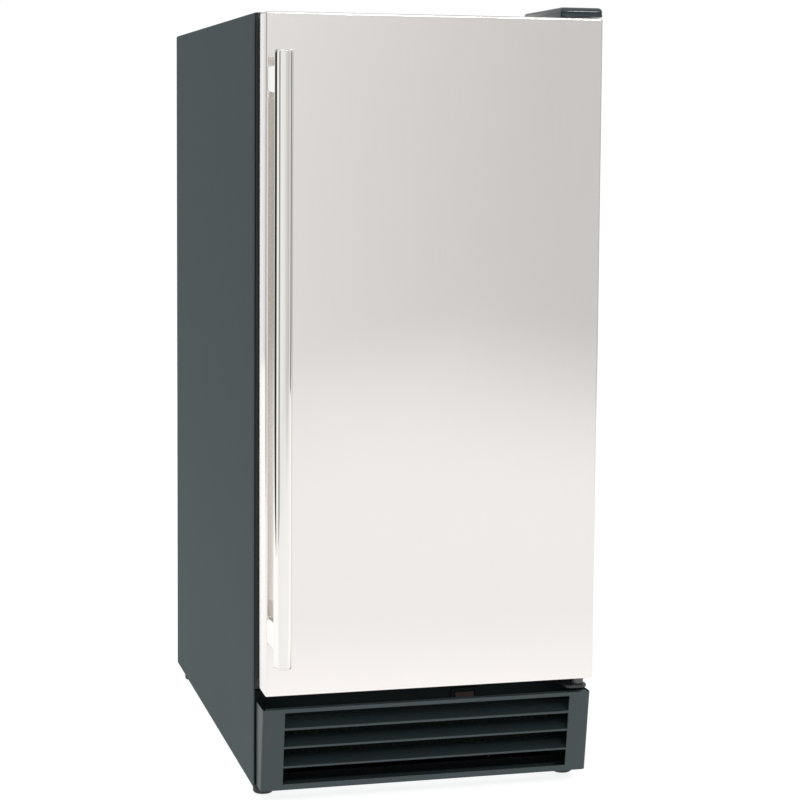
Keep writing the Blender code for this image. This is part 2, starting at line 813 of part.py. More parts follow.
def make_trough_and_pump():
    half, front, wall = UNIT_HALF - GAP, BRACKET_FRONT + 0.002, 0.0020
    low, high = (-half, front, TROUGH_BOTTOM), (half, TROUGH_BACK, TROUGH_TOP)
    trough = box("water_trough", low, high, "liner_plastic")
    room = box(
        "trough_room",
        (-half + wall, front + wall, TROUGH_BOTTOM + wall),
        (half - wall, TROUGH_BACK - wall, TROUGH_TOP + 0.01),
    )
    cut(trough, room)
    floor = TROUGH_BOTTOM + wall
    cup, stem, bore = 0.0180, 0.0060, 0.0030
    profile = [
        (bore, 0.5590),
        (stem, 0.5590),
        (stem, floor + 0.0170),
        (cup, floor + 0.0170),
        (cup, floor + 0.0015),
        (cup - 0.0030, floor + 0.0015),
        (cup - 0.0030, floor + 0.0140),
        (bore, floor + 0.0140),
        (bore, 0.5590),
    ]
    turned("pump_housing", profile, (PUMP_X, PUMP_Y, 0), "black_plastic")
    profile = [(0, 0.6000), (0.0180, 0.6000), (0.0200, 0.5970), (0.0200, 0.5593), (0, 0.5593)]
    turned("pump_motor", profile, (PUMP_X, PUMP_Y, 0), "black_plastic")
    make_impeller(floor)
    outlet = DISTRIBUTOR_Y + DISTRIBUTOR_RADIUS + GAP
    start = PUMP_X - cup - GAP
    route = [
        (start, PUMP_Y, floor + 0.0080),
        (0.0560, PUMP_Y, floor + 0.0080),
        (0.0560, PUMP_Y, DISTRIBUTOR_Z),
        (0.0560, outlet, DISTRIBUTOR_Z),
    ]
    tube("pump_hose", rounded_route(route, 0.018), 0.0045, "silicone_hose")


def make_impeller(floor):
    """A hub on the pump's shaft with four straight vanes."""
    profile = [
        (0, 0.5560),
        (0.0018, 0.5560),
        (0.0018, floor + 0.0110),
        (0.0050, floor + 0.0110),
        (0.0050, floor + 0.0030),
        (0, floor + 0.0030),
    ]
    hub = turned("pump_impeller", profile, (PUMP_X, PUMP_Y, 0), "black_plastic", steps=16)
    reach, half = 0.0125, 0.0010
    low, high = floor + 0.0035, floor + 0.0105
    vanes = (
        box("vane_x", (-reach, -half, low), (reach, half, high)),
        box("vane_y", (-half, -reach, low), (half, reach, high)),
    )
    for vane in vanes:
        vane.location += Vector((PUMP_X, PUMP_Y, 0))
    add(hub, *vanes)
    pivot("impeller_axis", (PUMP_X, PUMP_Y, floor), hub)


def make_curtain():
    """The hanging sheet in front of the freezing plate, with a pin at each upper end."""
    half = UNIT_HALF - 0.0055
    sheet = box(
        "water_curtain",
        (-half, CURTAIN_Y - 0.0010, CURTAIN_BOTTOM),
        (half, CURTAIN_Y + 0.0010, CURTAIN_AXIS_Z + 0.0050),
        "clear_plastic",
    )
    reach = UNIT_HALF + BRACKET
    pin = cylinder(
        "curtain_pins",
        (-reach, CURTAIN_Y, CURTAIN_AXIS_Z),
        (reach, CURTAIN_Y, CURTAIN_AXIS_Z),
        0.0020,
        sides=12,
    )
    add(sheet, pin)
    pivot("curtain_axis", (0, CURTAIN_Y, CURTAIN_AXIS_Z), sheet)


def make_bin_fittings():
    """The ice-level sensor tube, the drain strainer, and the scoop in its ring."""
    sensor = [(0.1320, BIN_BACK - GAP, 0.4550), (0.1320, 0.0200, 0.4550)]
    tube("ice_level_sensor", sensor, 0.0040, "copper", 3)
    x, y = DRAIN_HOLE
    base, rise = BIN_FLOOR + GAP, 0.0025
    strainer = [(0, base + rise), (0.0150, base + rise), (0.0180, base), (0, base)]
    turned("bin_drain_strainer", strainer, (x, y, 0), "black_plastic", steps=20)
    make_scoop()


def make_scoop():
    half_x, half_y, wall = 0.0150, 0.0370, 0.0020
    x, y, rest = SCOOP_X, SCOOP_Y, RING_Z
    holder = box(
        "scoop_holder",
        (-BIN_HALF + GAP, y - half_y - 0.0080, rest),
        (x + half_x + 0.0080, y + half_y + 0.0080, rest + 0.0060),
        "liner_plastic",
    )
    hole = box(
        "scoop_holder_hole",
        (x - half_x - 0.0015, y - half_y - 0.0015, rest - 0.01),
        (x + half_x + 0.0015, y + half_y + 0.0015, rest + 0.02),
    )
    cut(holder, hole)
    low, collar = rest - 0.1000, rest + 0.0060 + GAP
    bowl = box(
        "ice_scoop", (x - half_x, y - half_y, low), (x + half_x, y + half_y, collar), "scoop_plastic"
    )
    hollow = box(
        "scoop_hollow",
        (x - half_x + wall, y - half_y + wall, low - 0.01),
        (x + half_x + 0.01, y + half_y - wall, rest - 0.0020),
    )
    lip = box(
        "scoop_lip",
        (x - half_x - 0.0040, y - half_y - 0.0040, collar),
        (x + half_x + 0.0040, y + half_y + 0.0040, collar + 0.0040),
    )
    grip = box(
        "scoop_grip",
        (x - 0.0070, y - 0.0130, collar + 0.0010),
        (x + 0.0070, y + 0.0130, collar + 0.1000),
        bevel=0.0050,
    )
    cut(bowl, hollow)
    add(bowl, lip, grip)
    pivot("scoop_axis", (x, y, collar), bowl)


def make_refrigeration():
    """Condenser, fan, compressor and the pipes between them, on the base pan."""
    box(
        "condenser",
        (CONDENSER_LEFT, -0.2080, PAN_TOP + 0.0050),
        (CONDENSER_RIGHT, -0.1600, 0.1250),
        "aluminium_fin",
    )
    make_fan()
    bottom = make_compressor_base()
    shell = [(0, 0.1650), (0.0250, 0.1620), (0.0440, 0.1520), (0.0560, 0.1340), (0.0610, 0.1120)]
    shell += [(0.0610, 0.0720), (0.0630, 0.0700), (0.0630, 0.0660), (0.0610, 0.0640)]
    shell += [(0.0590, 0.0300), (0.0480, 0.0080), (0.0300, 0), (0, 0)]
    profile = [(radius, bottom + height) for radius, height in shell]
    centre = (COMPRESSOR_X, COMPRESSOR_Y, 0)
    compressor = turned("compressor", profile, centre, "compressor_black", steps=32)
    half = MOUNT_PITCH + MOUNT_RADIUS
    low = (COMPRESSOR_X - half, COMPRESSOR_Y - half, bottom)
    add(compressor, box("foot_plate", low, (low[0] + 2 * half, low[1] + 2 * half, bottom + 0.0025)))
    box(
        "compressor_terminal_cover",
        (COMPRESSOR_X + 0.0645, COMPRESSOR_Y - 0.0200, 0.0850),
        (COMPRESSOR_X + 0.0900, COMPRESSOR_Y + 0.0200, 0.1350),
        "black_plastic",
        0.003,
    )
    cylinder("filter_drier", (0.0350, 0.1150, 0.0600), (0.0350, 0.2250, 0.0600), 0.0110, "copper")
    valve = cylinder(
        "hot_gas_valve", (0.0900, 0.1400, 0.1150), (0.0900, 0.1400, 0.1600), 0.0140, "zinc_steel"
    )
    stem = cylinder("valve_body", (0.0900, 0.1400, 0.0950), (0.0900, 0.1400, 0.1200), 0.0090)
    add(valve, stem)
    make_pipes(bottom)


def make_compressor_base():
    """A plate on the pan with four round mounts. It gives the height where the shell's foot rests."""
    floor = PAN_TOP + GAP
    half = 0.0780
    base = box(
        "compressor_base",
        (COMPRESSOR_X - half, COMPRESSOR_Y - half, floor),
        (COMPRESSOR_X + half, COMPRESSOR_Y + half, floor + 0.0020),
        "zinc_steel",
    )
    top = floor + 0.0120
    mounts = []
    for index, (side, end) in enumerate(((-1, -1), (1, -1), (-1, 1), (1, 1))):
        x, y = COMPRESSOR_X + side * MOUNT_PITCH, COMPRESSOR_Y + end * MOUNT_PITCH
        start, stop = (x, y, floor + 0.0010), (x, y, top)
        mounts.append(cylinder(f"mount_{index}", start, stop, MOUNT_RADIUS, sides=16))
    add(base, *mounts)
    return top + GAP


def make_fan():
    """Shroud plate, motor with its stalk, and a four-blade fan on the motor's axis."""
    shroud = box(
        "fan_shroud",
        (CONDENSER_LEFT, -0.1560, 0.0180),
        (CONDENSER_RIGHT, -0.1540, 0.1300),
        "black_plastic",
    )
    mouth = cylinder(
        "shroud_mouth",
        (FAN_X, -0.1700, FAN_Z),
        (FAN_X, -0.1400, FAN_Z),
        FAN_RADIUS + 0.0030,
        sides=32,
    )
    cut(shroud, mouth)
    motor = cylinder(
        "fan_motor", (FAN_X, -0.1200, FAN_Z), (FAN_X, -0.0700, FAN_Z), 0.0240, "zinc_steel"
    )
    strut = box(
        "motor_strut", (FAN_X - 0.0100, -0.1100, PAN_TOP + GAP), (FAN_X + 0.0100, -0.0800, FAN_Z)
    )
    add(motor, strut)
    hub = cylinder(
        "fan_blades",
        (FAN_X, -0.1480, FAN_Z),
        (FAN_X, -0.1230, FAN_Z),
        0.0130,
        "black_plastic",
        20,
    )
    blades = []
    for index in range(4):
        blade = box(f"blade_{index}", (0.0100, -0.0008, -0.0120), (FAN_RADIUS, 0.0008, 0.0120))
        spin = Matrix.Rotation(math.radians(90 * index), 4, "Y")
        tilt = Matrix.Rotation(math.radians(60), 4, "X")
        place = Matrix.Translation((FAN_X, -0.1390, FAN_Z))
        blade.matrix_world = place @ spin @ tilt @ Matrix.Translation(blade.location)
        blades.append(blade)
    add(hub, *blades)
    pivot("fan_axis", (FAN_X, -0.1390, FAN_Z), hub)


def make_pipes(bottom):
    """Refrigerant, water and drain lines, each clear of its neighbours."""
    top = bottom + 0.1650
    discharge = [
        (COMPRESSOR_X + 0.0300, COMPRESSOR_Y - 0.0700, 0.0800),
        (COMPRESSOR_X + 0.0300, 0.0600, 0.0800),
        (-0.1200, 0.0600, 0.0800),
        (-0.1200, -0.1100, 0.0800),
        (-0.1720, -0.1100, 0.0800),
        (-0.1720, -0.1840, 0.0800),
        (CONDENSER_LEFT - GAP, -0.1840, 0.0800),
    ]
    tube("discharge_line", rounded_route(discharge, 0.015), 0.0032, "copper")
    suction = [
        (COMPRESSOR_X, COMPRESSOR_Y, top + 0.0005),
        (COMPRESSOR_X, COMPRESSOR_Y, top + 0.0300),
        (COMPRESSOR_X, 0.2900, top + 0.0300),
        (COMPRESSOR_X, 0.2900, FOAM_LEDGE - GAP),
    ]
    tube("suction_line", rounded_route(suction, 0.020), 0.0048, "copper")
    x, y = DRAIN_HOLE
    port_x, port_z = DRAIN_PORT[1:3]
    drain = [
        (x, y, BIN_FLOOR - GAP),
        (x, y, 0.0950),
        (port_x, 0.0700, port_z),
        (port_x, 0.2997, port_z),
    ]
    tube("drain_tube", rounded_route(drain, 0.035), 0.0065, "silicone_hose")
    port_x, port_z = WATER_PORT[1:3]
    water = [
        (port_x, 0.2437, port_z + 0.0100),
        (port_x, 0.1900, port_z + 0.0100),
        (port_x, 0.1900, FOAM_LEDGE - GAP),
    ]
    tube("water_supply_tube", rounded_route(water, 0.020), 0.0032, "silicone_hose")


def make_services():
    """Water valve, rear ports, control box and the rocker switch with its surround."""
    x, z = WATER_PORT[1:3]
    valve = box(
        "water_inlet_valve",
        (x - 0.0160, 0.2440, z - 0.0150),
        (x + 0.0160, 0.2990, z + 0.0200),
        "liner_plastic",
        0.003,
    )
    coil = box("valve_coil", (x - 0.0120, 0.2500, z + 0.0190), (x + 0.0120, 0.2800, z + 0.0450))
    add(valve, coil)
    for name, x, z, radius in (WATER_PORT, DRAIN_PORT):
        port = cylinder(name, (x, 0.3000, z), (x, 0.3370, z), radius, "zinc_steel", 20)
        bore = cylinder(f"{name}_bore", (x, 0.3150, z), (x, 0.3470, z), radius - 0.0030, sides=20)
        cut(port, bore)
    name, x, z, radius = POWER_PORT
    cylinder(name, (x, 0.2900, z), (x, 0.3250, z), radius, "black_plastic", 20)
    box("control_box", (0.1000, -0.1900, 0.0300), (0.1780, -0.0300, 0.1250), "black_plastic", 0.001)
    make_switch()


def make_switch():
    half_x, half_z = 0.0115, 0.0046
    front = RAIL_FRONT - GAP - 0.0020
    bezel = box(
        "switch_bezel",
        (SWITCH_X - 0.0155, front, SWITCH_Z - 0.0082),
        (SWITCH_X + 0.0155, RAIL_FRONT - GAP, SWITCH_Z + 0.0082),
        "black_plastic",
    )
    body = box(
        "switch_body",
        (SWITCH_X - half_x - 0.0012, front + 0.0005, SWITCH_Z - half_z - 0.0012),
        (SWITCH_X + half_x + 0.0012, RAIL_FRONT + 0.0120, SWITCH_Z + half_z + 0.0012),
    )
    well = box(
        "switch_well",
        (SWITCH_X - half_x, front - 0.01, SWITCH_Z - half_z),
        (SWITCH_X + half_x, RAIL_FRONT + 0.0105, SWITCH_Z + half_z),
    )
    add(bezel, body)
    cut(bezel, well)
    reach, crown = 0.0106, front - 0.0008
    axis_y = RAIL_FRONT + 0.0010
    profile = [
        (SWITCH_X - reach, axis_y + 0.0020),
        (SWITCH_X - reach, crown - 0.0012),
        (SWITCH_X, crown + 0.0004),
        (SWITCH_X + reach, crown - 0.0012),
        (SWITCH_X + reach, axis_y + 0.0020),
        (SWITCH_X, axis_y + 0.0055),
    ]
    half = half_z - GAP
    rocker = outline(
        "rocker_switch", profile, "Z", SWITCH_Z - half, SWITCH_Z + half, "black_plastic"
    )
    pivot("switch_axis", (SWITCH_X, axis_y, SWITCH_Z), rocker)


def make_legs():
    """Four screw-in levelling legs: a ribbed pad under a threaded stud."""
    for name, x, y in LEGS:
        profile = [
            (0, 0.0450),
            (STUD_RADIUS, 0.0450),
            (STUD_RADIUS, 0.0085),
            (LEG_RADIUS - 0.0020, 0.0085),
            (LEG_RADIUS, 0.0065),
            (LEG_RADIUS, 0.0010),
            (LEG_RADIUS - 0.0010, 0),
            (0, 0),
        ]
        leg = turned(name, profile, (x, y, 0), "foot_plastic", steps=20)
        pivot(f"{name}_axis", (x, y, 0), leg)


clear_scene()
PARTS = new_collection("ice_maker")
CUTTERS = new_collection("cutters")
make_cabinet()
make_compartment()
make_front_rail()
make_toe_grille()
make_hinges()
make_door()
make_ice_unit()
make_bin_fittings()
make_refrigeration()
make_services()
make_legs()
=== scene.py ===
"""Undercounter ice maker, 15-inch class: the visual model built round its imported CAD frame.

Every sub-assembly is a class. Its sizes come from the CAD nodes' boxes, its surfaces are worked out
with numpy from the formulas in the docstrings, and each piece rides on the CAD body it belongs to.
Metres, +Z up, front towards -Y.
"""

import json
import logging
import math
from dataclasses import dataclass, field
from enum import Enum

import bmesh
import bpy
import numpy as np
from mathutils import Matrix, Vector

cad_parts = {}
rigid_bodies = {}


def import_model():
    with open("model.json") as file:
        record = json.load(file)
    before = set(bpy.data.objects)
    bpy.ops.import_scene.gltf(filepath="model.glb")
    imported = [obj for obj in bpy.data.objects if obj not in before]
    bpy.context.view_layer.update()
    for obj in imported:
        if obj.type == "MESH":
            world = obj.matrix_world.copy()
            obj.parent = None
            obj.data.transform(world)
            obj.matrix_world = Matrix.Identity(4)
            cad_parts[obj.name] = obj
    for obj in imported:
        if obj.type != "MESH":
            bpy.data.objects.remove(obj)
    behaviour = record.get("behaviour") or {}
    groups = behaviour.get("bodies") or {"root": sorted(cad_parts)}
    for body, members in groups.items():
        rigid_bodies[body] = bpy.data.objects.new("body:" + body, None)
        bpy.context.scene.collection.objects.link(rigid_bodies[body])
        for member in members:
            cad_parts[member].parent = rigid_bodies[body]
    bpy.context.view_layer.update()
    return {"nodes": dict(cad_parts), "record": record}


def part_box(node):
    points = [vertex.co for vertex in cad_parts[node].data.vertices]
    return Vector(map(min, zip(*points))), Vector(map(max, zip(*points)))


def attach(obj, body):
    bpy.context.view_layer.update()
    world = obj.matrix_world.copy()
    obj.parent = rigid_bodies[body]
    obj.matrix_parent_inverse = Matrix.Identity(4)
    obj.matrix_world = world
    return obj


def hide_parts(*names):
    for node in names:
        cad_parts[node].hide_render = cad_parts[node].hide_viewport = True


for leftover in list(bpy.data.objects):
    bpy.data.objects.remove(leftover, do_unlink=True)
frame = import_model()

Array = np.ndarray
Point = tuple[float, float, float]
Pair = tuple[float, float]
LOG = logging.getLogger("ice_maker")
MERGE = 1e-6
QUARTER = math.pi / 2


class Axis(Enum):
    """The axis that a surface is carried along, and where its outline's two numbers go."""

    X = (2, 0, 1)
    Y = (0, 2, 1)
    Z = (0, 1, 2)


class Grain(Enum):
    """The fine structure that a finish shows."""

    BRUSHED = "long fine streaks"
    PEEL = "soft rounded bumps"
    SPANGLE = "flat crystals, each with its own shade"
    CELLS = "rounded cells with thin walls"
    CLOUDED = "slow cloudy patches"


@dataclass(frozen=True)
class Extent:
    """The lowest and highest corner of a CAD node at rest."""

    low: Array
    high: Array

    @classmethod
    def of(cls, node: str) -> "Extent":
        """Reads the box of the CAD node with that name."""
        low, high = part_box(node)
        return cls(np.array(low, float), np.array(high, float))

    @property
    def middle(self) -> Array:
        """The centre of the box."""
        return (self.low + self.high) / 2

    @property
    def size(self) -> Array:
        """The three sides of the box."""
        return self.high - self.low

    def across(self, axis: Axis) -> Array:
        """The box seen along an axis, as lowest u, highest u, lowest v and highest v."""
        u, v = (axis.value.index(0), axis.value.index(1))
        return np.array([self.low[u], self.high[u], self.low[v], self.high[v]])


def box_of(node: str) -> Extent:
    """A field whose value is the box of the CAD node with that name, read when its class is made."""
    return field(default_factory=lambda: Extent.of(node))


# Shapes: outlines and grids of points


def unit(vectors: Array) -> Array:
    """Each vector over its own length. A vector with no length stays as it is."""
    length = np.linalg.norm(vectors, axis=-1, keepdims=True)
    return vectors / np.where(length < 1e-12, 1.0, length)


def chain(*parts: Array) -> Array:
    """Rows laid end to end."""
    return np.concatenate(parts)


def place(outlines: Array, heights: Array, axis: Axis) -> Array:
    """Stands flat outlines at heights along an axis.

    Args:
        outlines: (n, m, 2) points, or (m, 2) for one outline used at every height.
        heights: the n heights.
        axis: the axis that the heights are measured along.

    Returns:
        (n, m, 3) points.
    """
    heights = np.atleast_1d(np.asarray(heights, float))
    outlines = np.broadcast_to(outlines, (len(heights), *np.shape(outlines)[-2:]))
    level = np.broadcast_to(heights[:, None, None], (*outlines.shape[:2], 1))
    return np.concatenate([outlines, level], axis=-1)[..., list(axis.value)]


def fillet(corners: Array, radius: float | Array, steps: int = 6, closed: bool = True) -> Array:
    """Rounds the corners of a line of straight runs, flat or in space.

    Each corner gives way to an arc. The arc's centre stands on the corner's bisector, at the radius
    over the sine of the half angle, and its spoke turns evenly from one tangent point to the other.

    Args:
        corners: (n, 2) or (n, 3) corner points.
        radius: one radius, or one for each corner.
        steps: runs in each arc.
        closed: whether the last corner joins the first.

    Returns:
        The points of the rounded line, with no point twice.
    """
    corners = np.asarray(corners, float)
    radii = np.broadcast_to(np.asarray(radius, float), (len(corners),))[:, None]
    before = unit(np.roll(corners, 1, axis=0) - corners)
    after = unit(np.roll(corners, -1, axis=0) - corners)
    half = np.arccos(np.clip((before * after).sum(1, keepdims=True), -1, 1)) / 2
    half = np.maximum(half, 1e-6)
    centre = corners + unit(before + after) * radii / np.sin(half)
    start, stop = (corners + side * radii / np.tan(half) - centre for side in (before, after))
    turn = (math.pi - 2 * half)[:, None]
    share = np.linspace(0, 1, steps + 1)[None, :, None]
    spoke = np.sin((1 - share) * turn) * start[:, None] + np.sin(share * turn) * stop[:, None]
    arcs = centre[:, None] + spoke / np.maximum(np.sin(turn), 1e-9)
    if not closed:
        arcs[0], arcs[-1] = corners[0], corners[-1]
    line = arcs.reshape(-1, corners.shape[1])
    keep = np.linalg.norm(line - np.roll(line, 1, axis=0), axis=1) > 1e-7
    keep[0] = keep[0] or not closed
    return line[keep]


def rounded_loops(stations: Array, steps: int = 5) -> Array:
    """Rounded rectangles, one for each station.

    Each corner is a quarter circle: the corner circle's centre plus the radius times the cosine and
    sine of an angle that runs a quarter turn. The four corners follow one another anticlockwise.

    Args:
        stations: rows of lowest u, highest u, lowest v, highest v and corner radius.
        steps: runs in each corner.

    Returns:
        (n, 4 * (steps + 1), 2) points.
    """
    u0, u1, v0, v1, radius = np.asarray(stations, float).T[:5, :, None]
    quarter = np.linspace(0, QUARTER, steps + 1)
    angle = (np.arange(4)[:, None] * QUARTER - QUARTER + quarter).ravel()
    right = np.repeat([True, True, False, False], steps + 1)
    upper = np.repeat([False, True, True, False], steps + 1)
    u = np.where(right, u1 - radius, u0 + radius) + radius * np.cos(angle)
    v = np.where(upper, v1 - radius, v0 + radius) + radius * np.sin(angle)
    return np.stack([u, v], axis=-1)


def nested(limits: Array, radius: float, steps: Array) -> Array:
    """Stations of one rounded rectangle drawn in by set amounts at set heights.

    Args:
        limits: lowest u, highest u, lowest v and highest v of the full outline.
        radius: its corner radius.
        steps: rows of (drawn in by, height).

    Returns:
        Rows of the four limits, the corner radius and the height.
    """
    inset, height = np.asarray(steps, float).T
    sides = limits + inset[:, None] * np.array([1, -1, 1, -1])
    corner = np.maximum(radius - inset, 0.0003)
    return np.column_stack([sides, corner, height])


def roll(inset: float, height: float, radius: float, rise: int, steps: int = 4) -> Array:
    """Rows of (drawn in by, height) for a quarter-round edge.

    The inset falls as the radius times one minus the sine of a turning angle, and the height moves
    by the radius times one minus its cosine, so the edge leaves the face flat and meets the side flat.

    Args:
        inset: the side's own inset, where the edge ends.
        height: the face's height, where the edge starts.
        radius: the edge's radius.
        rise: 1 where the side runs up from the face, -1 where it runs down.
        steps: runs in the edge.

    Returns:
        (steps + 1, 2) rows, from the face to the side.
    """
    angle = np.linspace(0, QUARTER, steps + 1)
    drawn = inset + radius * (1 - np.sin(angle))
    return np.column_stack([drawn, height + rise * radius * (1 - np.cos(angle))])


def lofted(stations: Array, axis: Axis, steps: int = 5) -> Array:
    """Rounded rectangles at their heights along an axis, as a grid."""
    stations = np.asarray(stations, float)
    return place(rounded_loops(stations, steps), stations[:, 5], axis)


def prism(outline: Array, axis: Axis, low: float, high: float, edge: float = 0.0004) -> Array:
    """A closed outline carried along an axis, with quarter-round edges at both ends.

    Near an end the outline moves along its own inward normals by the edge times one minus the sine
    of a turning angle, while the height moves by the edge times one minus its cosine.

    Args:
        outline: (m, 2) points, either way round.
        axis: the axis to carry it along.
        low: where it starts.
        high: where it ends.
        edge: the radius of the end edges.

    Returns:
        A grid to be closed at both ends.
    """
    following = np.roll(outline, -1, axis=0)
    turned = np.sum(outline[:, 0] * following[:, 1] - following[:, 0] * outline[:, 1]) > 0
    outline = outline if turned else outline[::-1]
    run = unit(np.roll(outline, -1, axis=0) - outline)
    ahead = np.stack([-run[:, 1], run[:, 0]], axis=1)
    inward = unit(ahead + np.roll(ahead, 1, axis=0))
    inward = inward / np.maximum((inward * ahead).sum(1, keepdims=True), 0.5)
    angle = np.linspace(0, QUARTER, 4)
    inset, rise = edge * (1 - np.sin(angle)), edge * (1 - np.cos(angle))
    drawn = chain(inset, inset[::-1])
    heights = chain(low + rise, (high - rise)[::-1])
    return place(outline[None] + drawn[:, None, None] * inward[None], heights, axis)


def turned(profile: Array, centre: Point, axis: Axis = Axis.Z, sides: int = 48) -> Array:
    """A profile of (radius, height) turned about an axis through a centre.

    Each point's circle is its radius times the cosine and sine of an angle that runs a full turn.

    Args:
        profile: (n, 2) rows, heights being measured from the centre.
        centre: a point on the axis.
        axis: the direction of the axis.
        sides: points in each circle.

    Returns:
        A grid with one circle to each row.
    """
    profile = np.asarray(profile, float)
    angle = np.arange(sides) * 2 * math.pi / sides
    circle = np.stack([np.cos(angle), np.sin(angle)], axis=1)
    return place(profile[:, 0, None, None] * circle, profile[:, 1], axis) + np.array(centre)


def tube(path: Array, radius: float | Array, sides: int = 14) -> Array:
    """A round section carried along a line.

    At each point the section stands square to the line: its first spoke is the cross product of the
    tangent with one oblique direction, its second the cross product of the tangent with the first.

    Args:
        path: (n, 3) points.
        radius: one radius, or one for each point.
        sides: points in each section.

    Returns:
        A grid with one section to each row.
    """
    path = np.asarray(path, float)
    tangent = unit(np.gradient(path, axis=0))
    first = unit(np.cross(tangent, unit(np.array([0.36, 0.48, 0.8]))))
    second = np.cross(tangent, first)
    angle = np.arange(sides) * 2 * math.pi / sides
    spoke = np.cos(angle)[:, None] * first[:, None] + np.sin(angle)[:, None] * second[:, None]
    reach = np.broadcast_to(np.asarray(radius, float), (len(path),))
    return path[:, None] + reach[:, None, None] * spoke


def box_limits(centre: Array, half: Array) -> Array:
    """Lowest u, highest u, lowest v and highest v round a centre."""
    return np.array([centre[0] - half[0], centre[0] + half[0], centre[1] - half[1], centre[1] + half[1]])


def swell(values: Array, low: float, high: float, edge: float) -> Array:
    """A smooth plateau: 0 outside low and high, 1 within, with a cubic ramp of length edge at each end."""
    ramp = np.clip(np.minimum(values - low, high - values) / edge, 0, 1)
    return ramp * ramp * (3 - 2 * ramp)


class Skin:
    """The surface of one piece, gathered from grids of points."""

    def __init__(self) -> None:
        """Starts with no points."""
        self._points: list[Array] = []
        self._faces: list[list[int]] = []
        self._count = 0

    def grid(self, rows: Array, round_rows: bool = False, ends: bool = False, around: bool = True) -> "Skin":
        """Adds a grid of points as quads.

        Args:
            rows: (n, m, 3) points.
            round_rows: whether the last row joins the first.
            ends: whether the first and last rows are closed with a flat face.
            around: whether the last column joins the first.

        Returns:
            This skin.
        """
        count, width = rows.shape[:2]
        index = np.arange(count * width).reshape(count, width) + self._count
        wide = np.concatenate([index, index[:, :1]], axis=1) if around else index
        tall = np.concatenate([wide, wide[:1]], axis=0) if round_rows else wide
        quads = np.stack([tall[:-1, :-1], tall[:-1, 1:], tall[1:, 1:], tall[1:, :-1]], axis=-1)
        self._faces += quads.reshape(-1, 4).tolist()
        if ends:
            self._faces += [index[0, ::-1].tolist(), index[-1].tolist()]
        self._points.append(np.asarray(rows, float).reshape(-1, 3))
        self._count += count * width
        return self

    def solid(self, rows: Array) -> "Skin":
        """Adds a grid closed at both ends."""
        return self.grid(rows, ends=True)

    def hoop(self, rows: Array) -> "Skin":
        """Adds a grid that closes on itself both ways, as a ring does."""
        return self.grid(rows, round_rows=True)

    def sheet(self, front: Array, back: Array, solid: Array | None = None) -> "Skin":
        """Adds a sheet with two sides and, where cells are left out, openings with walls.

        The two grids share their layout. A cell of the layout gives a quad on each side, and a wall
        stands on each edge between a solid cell and an open one or the outside.

        Args:
            front: (n, m, 3) points of one side.
            back: (n, m, 3) points of the other.
            solid: (n - 1, m - 1) of True where there is material; all of it if left out.

        Returns:
            This skin.
        """
        count, width = front.shape[:2]
        solid = np.ones((count - 1, width - 1), bool) if solid is None else solid
        index = np.arange(count * width).reshape(count, width) + self._count
        other = index + count * width
        cell = np.stack([index[:-1, :-1], index[:-1, 1:], index[1:, 1:], index[1:, :-1]], axis=-1)[solid]
        padded = np.pad(solid, 1)
        faces = [cell, (cell + count * width)[:, ::-1]]
        across = padded[1:-1, :-1] != padded[1:-1, 1:]
        upright = padded[:-1, 1:-1] != padded[1:, 1:-1]
        for edge, ends in ((across, (index[:-1], index[1:])), (upright, (index[:, :-1], index[:, 1:]))):
            start, stop = ends[0][edge], ends[1][edge]
            faces.append(np.stack([start, stop, stop + count * width, start + count * width], axis=-1))
        self._faces += np.concatenate(faces).tolist()
        self._points.append(chain(front.reshape(-1, 3), back.reshape(-1, 3)))
        self._count = int(other[-1, -1]) + 1
        return self

    def piece(
        self, name: str, finish: "Finish", body: str, *nodes: str, sharp: float = 32,
    ) -> bpy.types.Object:
        """Makes the piece, with doubles merged, faces outwards and edges kept crisp past an angle.

        Args:
            name: the piece's name.
            finish: its finish.
            body: the CAD body that it rides on.
            nodes: the CAD nodes that it stands for.
            sharp: the angle in degrees past which an edge shows as a crease.

        Returns:
            The object.
        """
        mesh = bpy.data.meshes.new(name)
        mesh.from_pydata(np.concatenate(self._points), [], self._faces)
        work = bmesh.new()
        work.from_mesh(mesh)
        bmesh.ops.remove_doubles(work, verts=work.verts, dist=MERGE)
        bmesh.ops.dissolve_degenerate(work, edges=work.edges, dist=MERGE / 10)
        loose = [vertex for vertex in work.verts if not vertex.link_faces]
        bmesh.ops.delete(work, geom=loose, context="VERTS")
        bmesh.ops.recalc_face_normals(work, faces=work.faces)
        work.to_mesh(mesh)
        work.free()
        mesh.shade_smooth()
        mesh.set_sharp_from_angle(angle=math.radians(sharp))
        mesh.materials.append(finish.material())
        piece = bpy.data.objects.new(name, mesh)
        bpy.context.scene.collection.objects.link(piece)
        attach(piece, body)
        if nodes:
            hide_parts(*nodes)
        LOG.info("%s: %d faces, on %s", name, len(mesh.polygons), body)
        return piece


def soften(piece: bpy.types.Object, width: float, segments: int = 3) -> bpy.types.Object:
    """Rounds the piece's creased edges with a bevel of that width."""
    bevel = piece.modifiers.new("soft_edges", "BEVEL")
    bevel.width = width
    bevel.segments = segments
    bevel.limit_method = "ANGLE"
    bevel.angle_limit = math.radians(35)
    bevel.harden_normals = True
    return piece


# Finishes


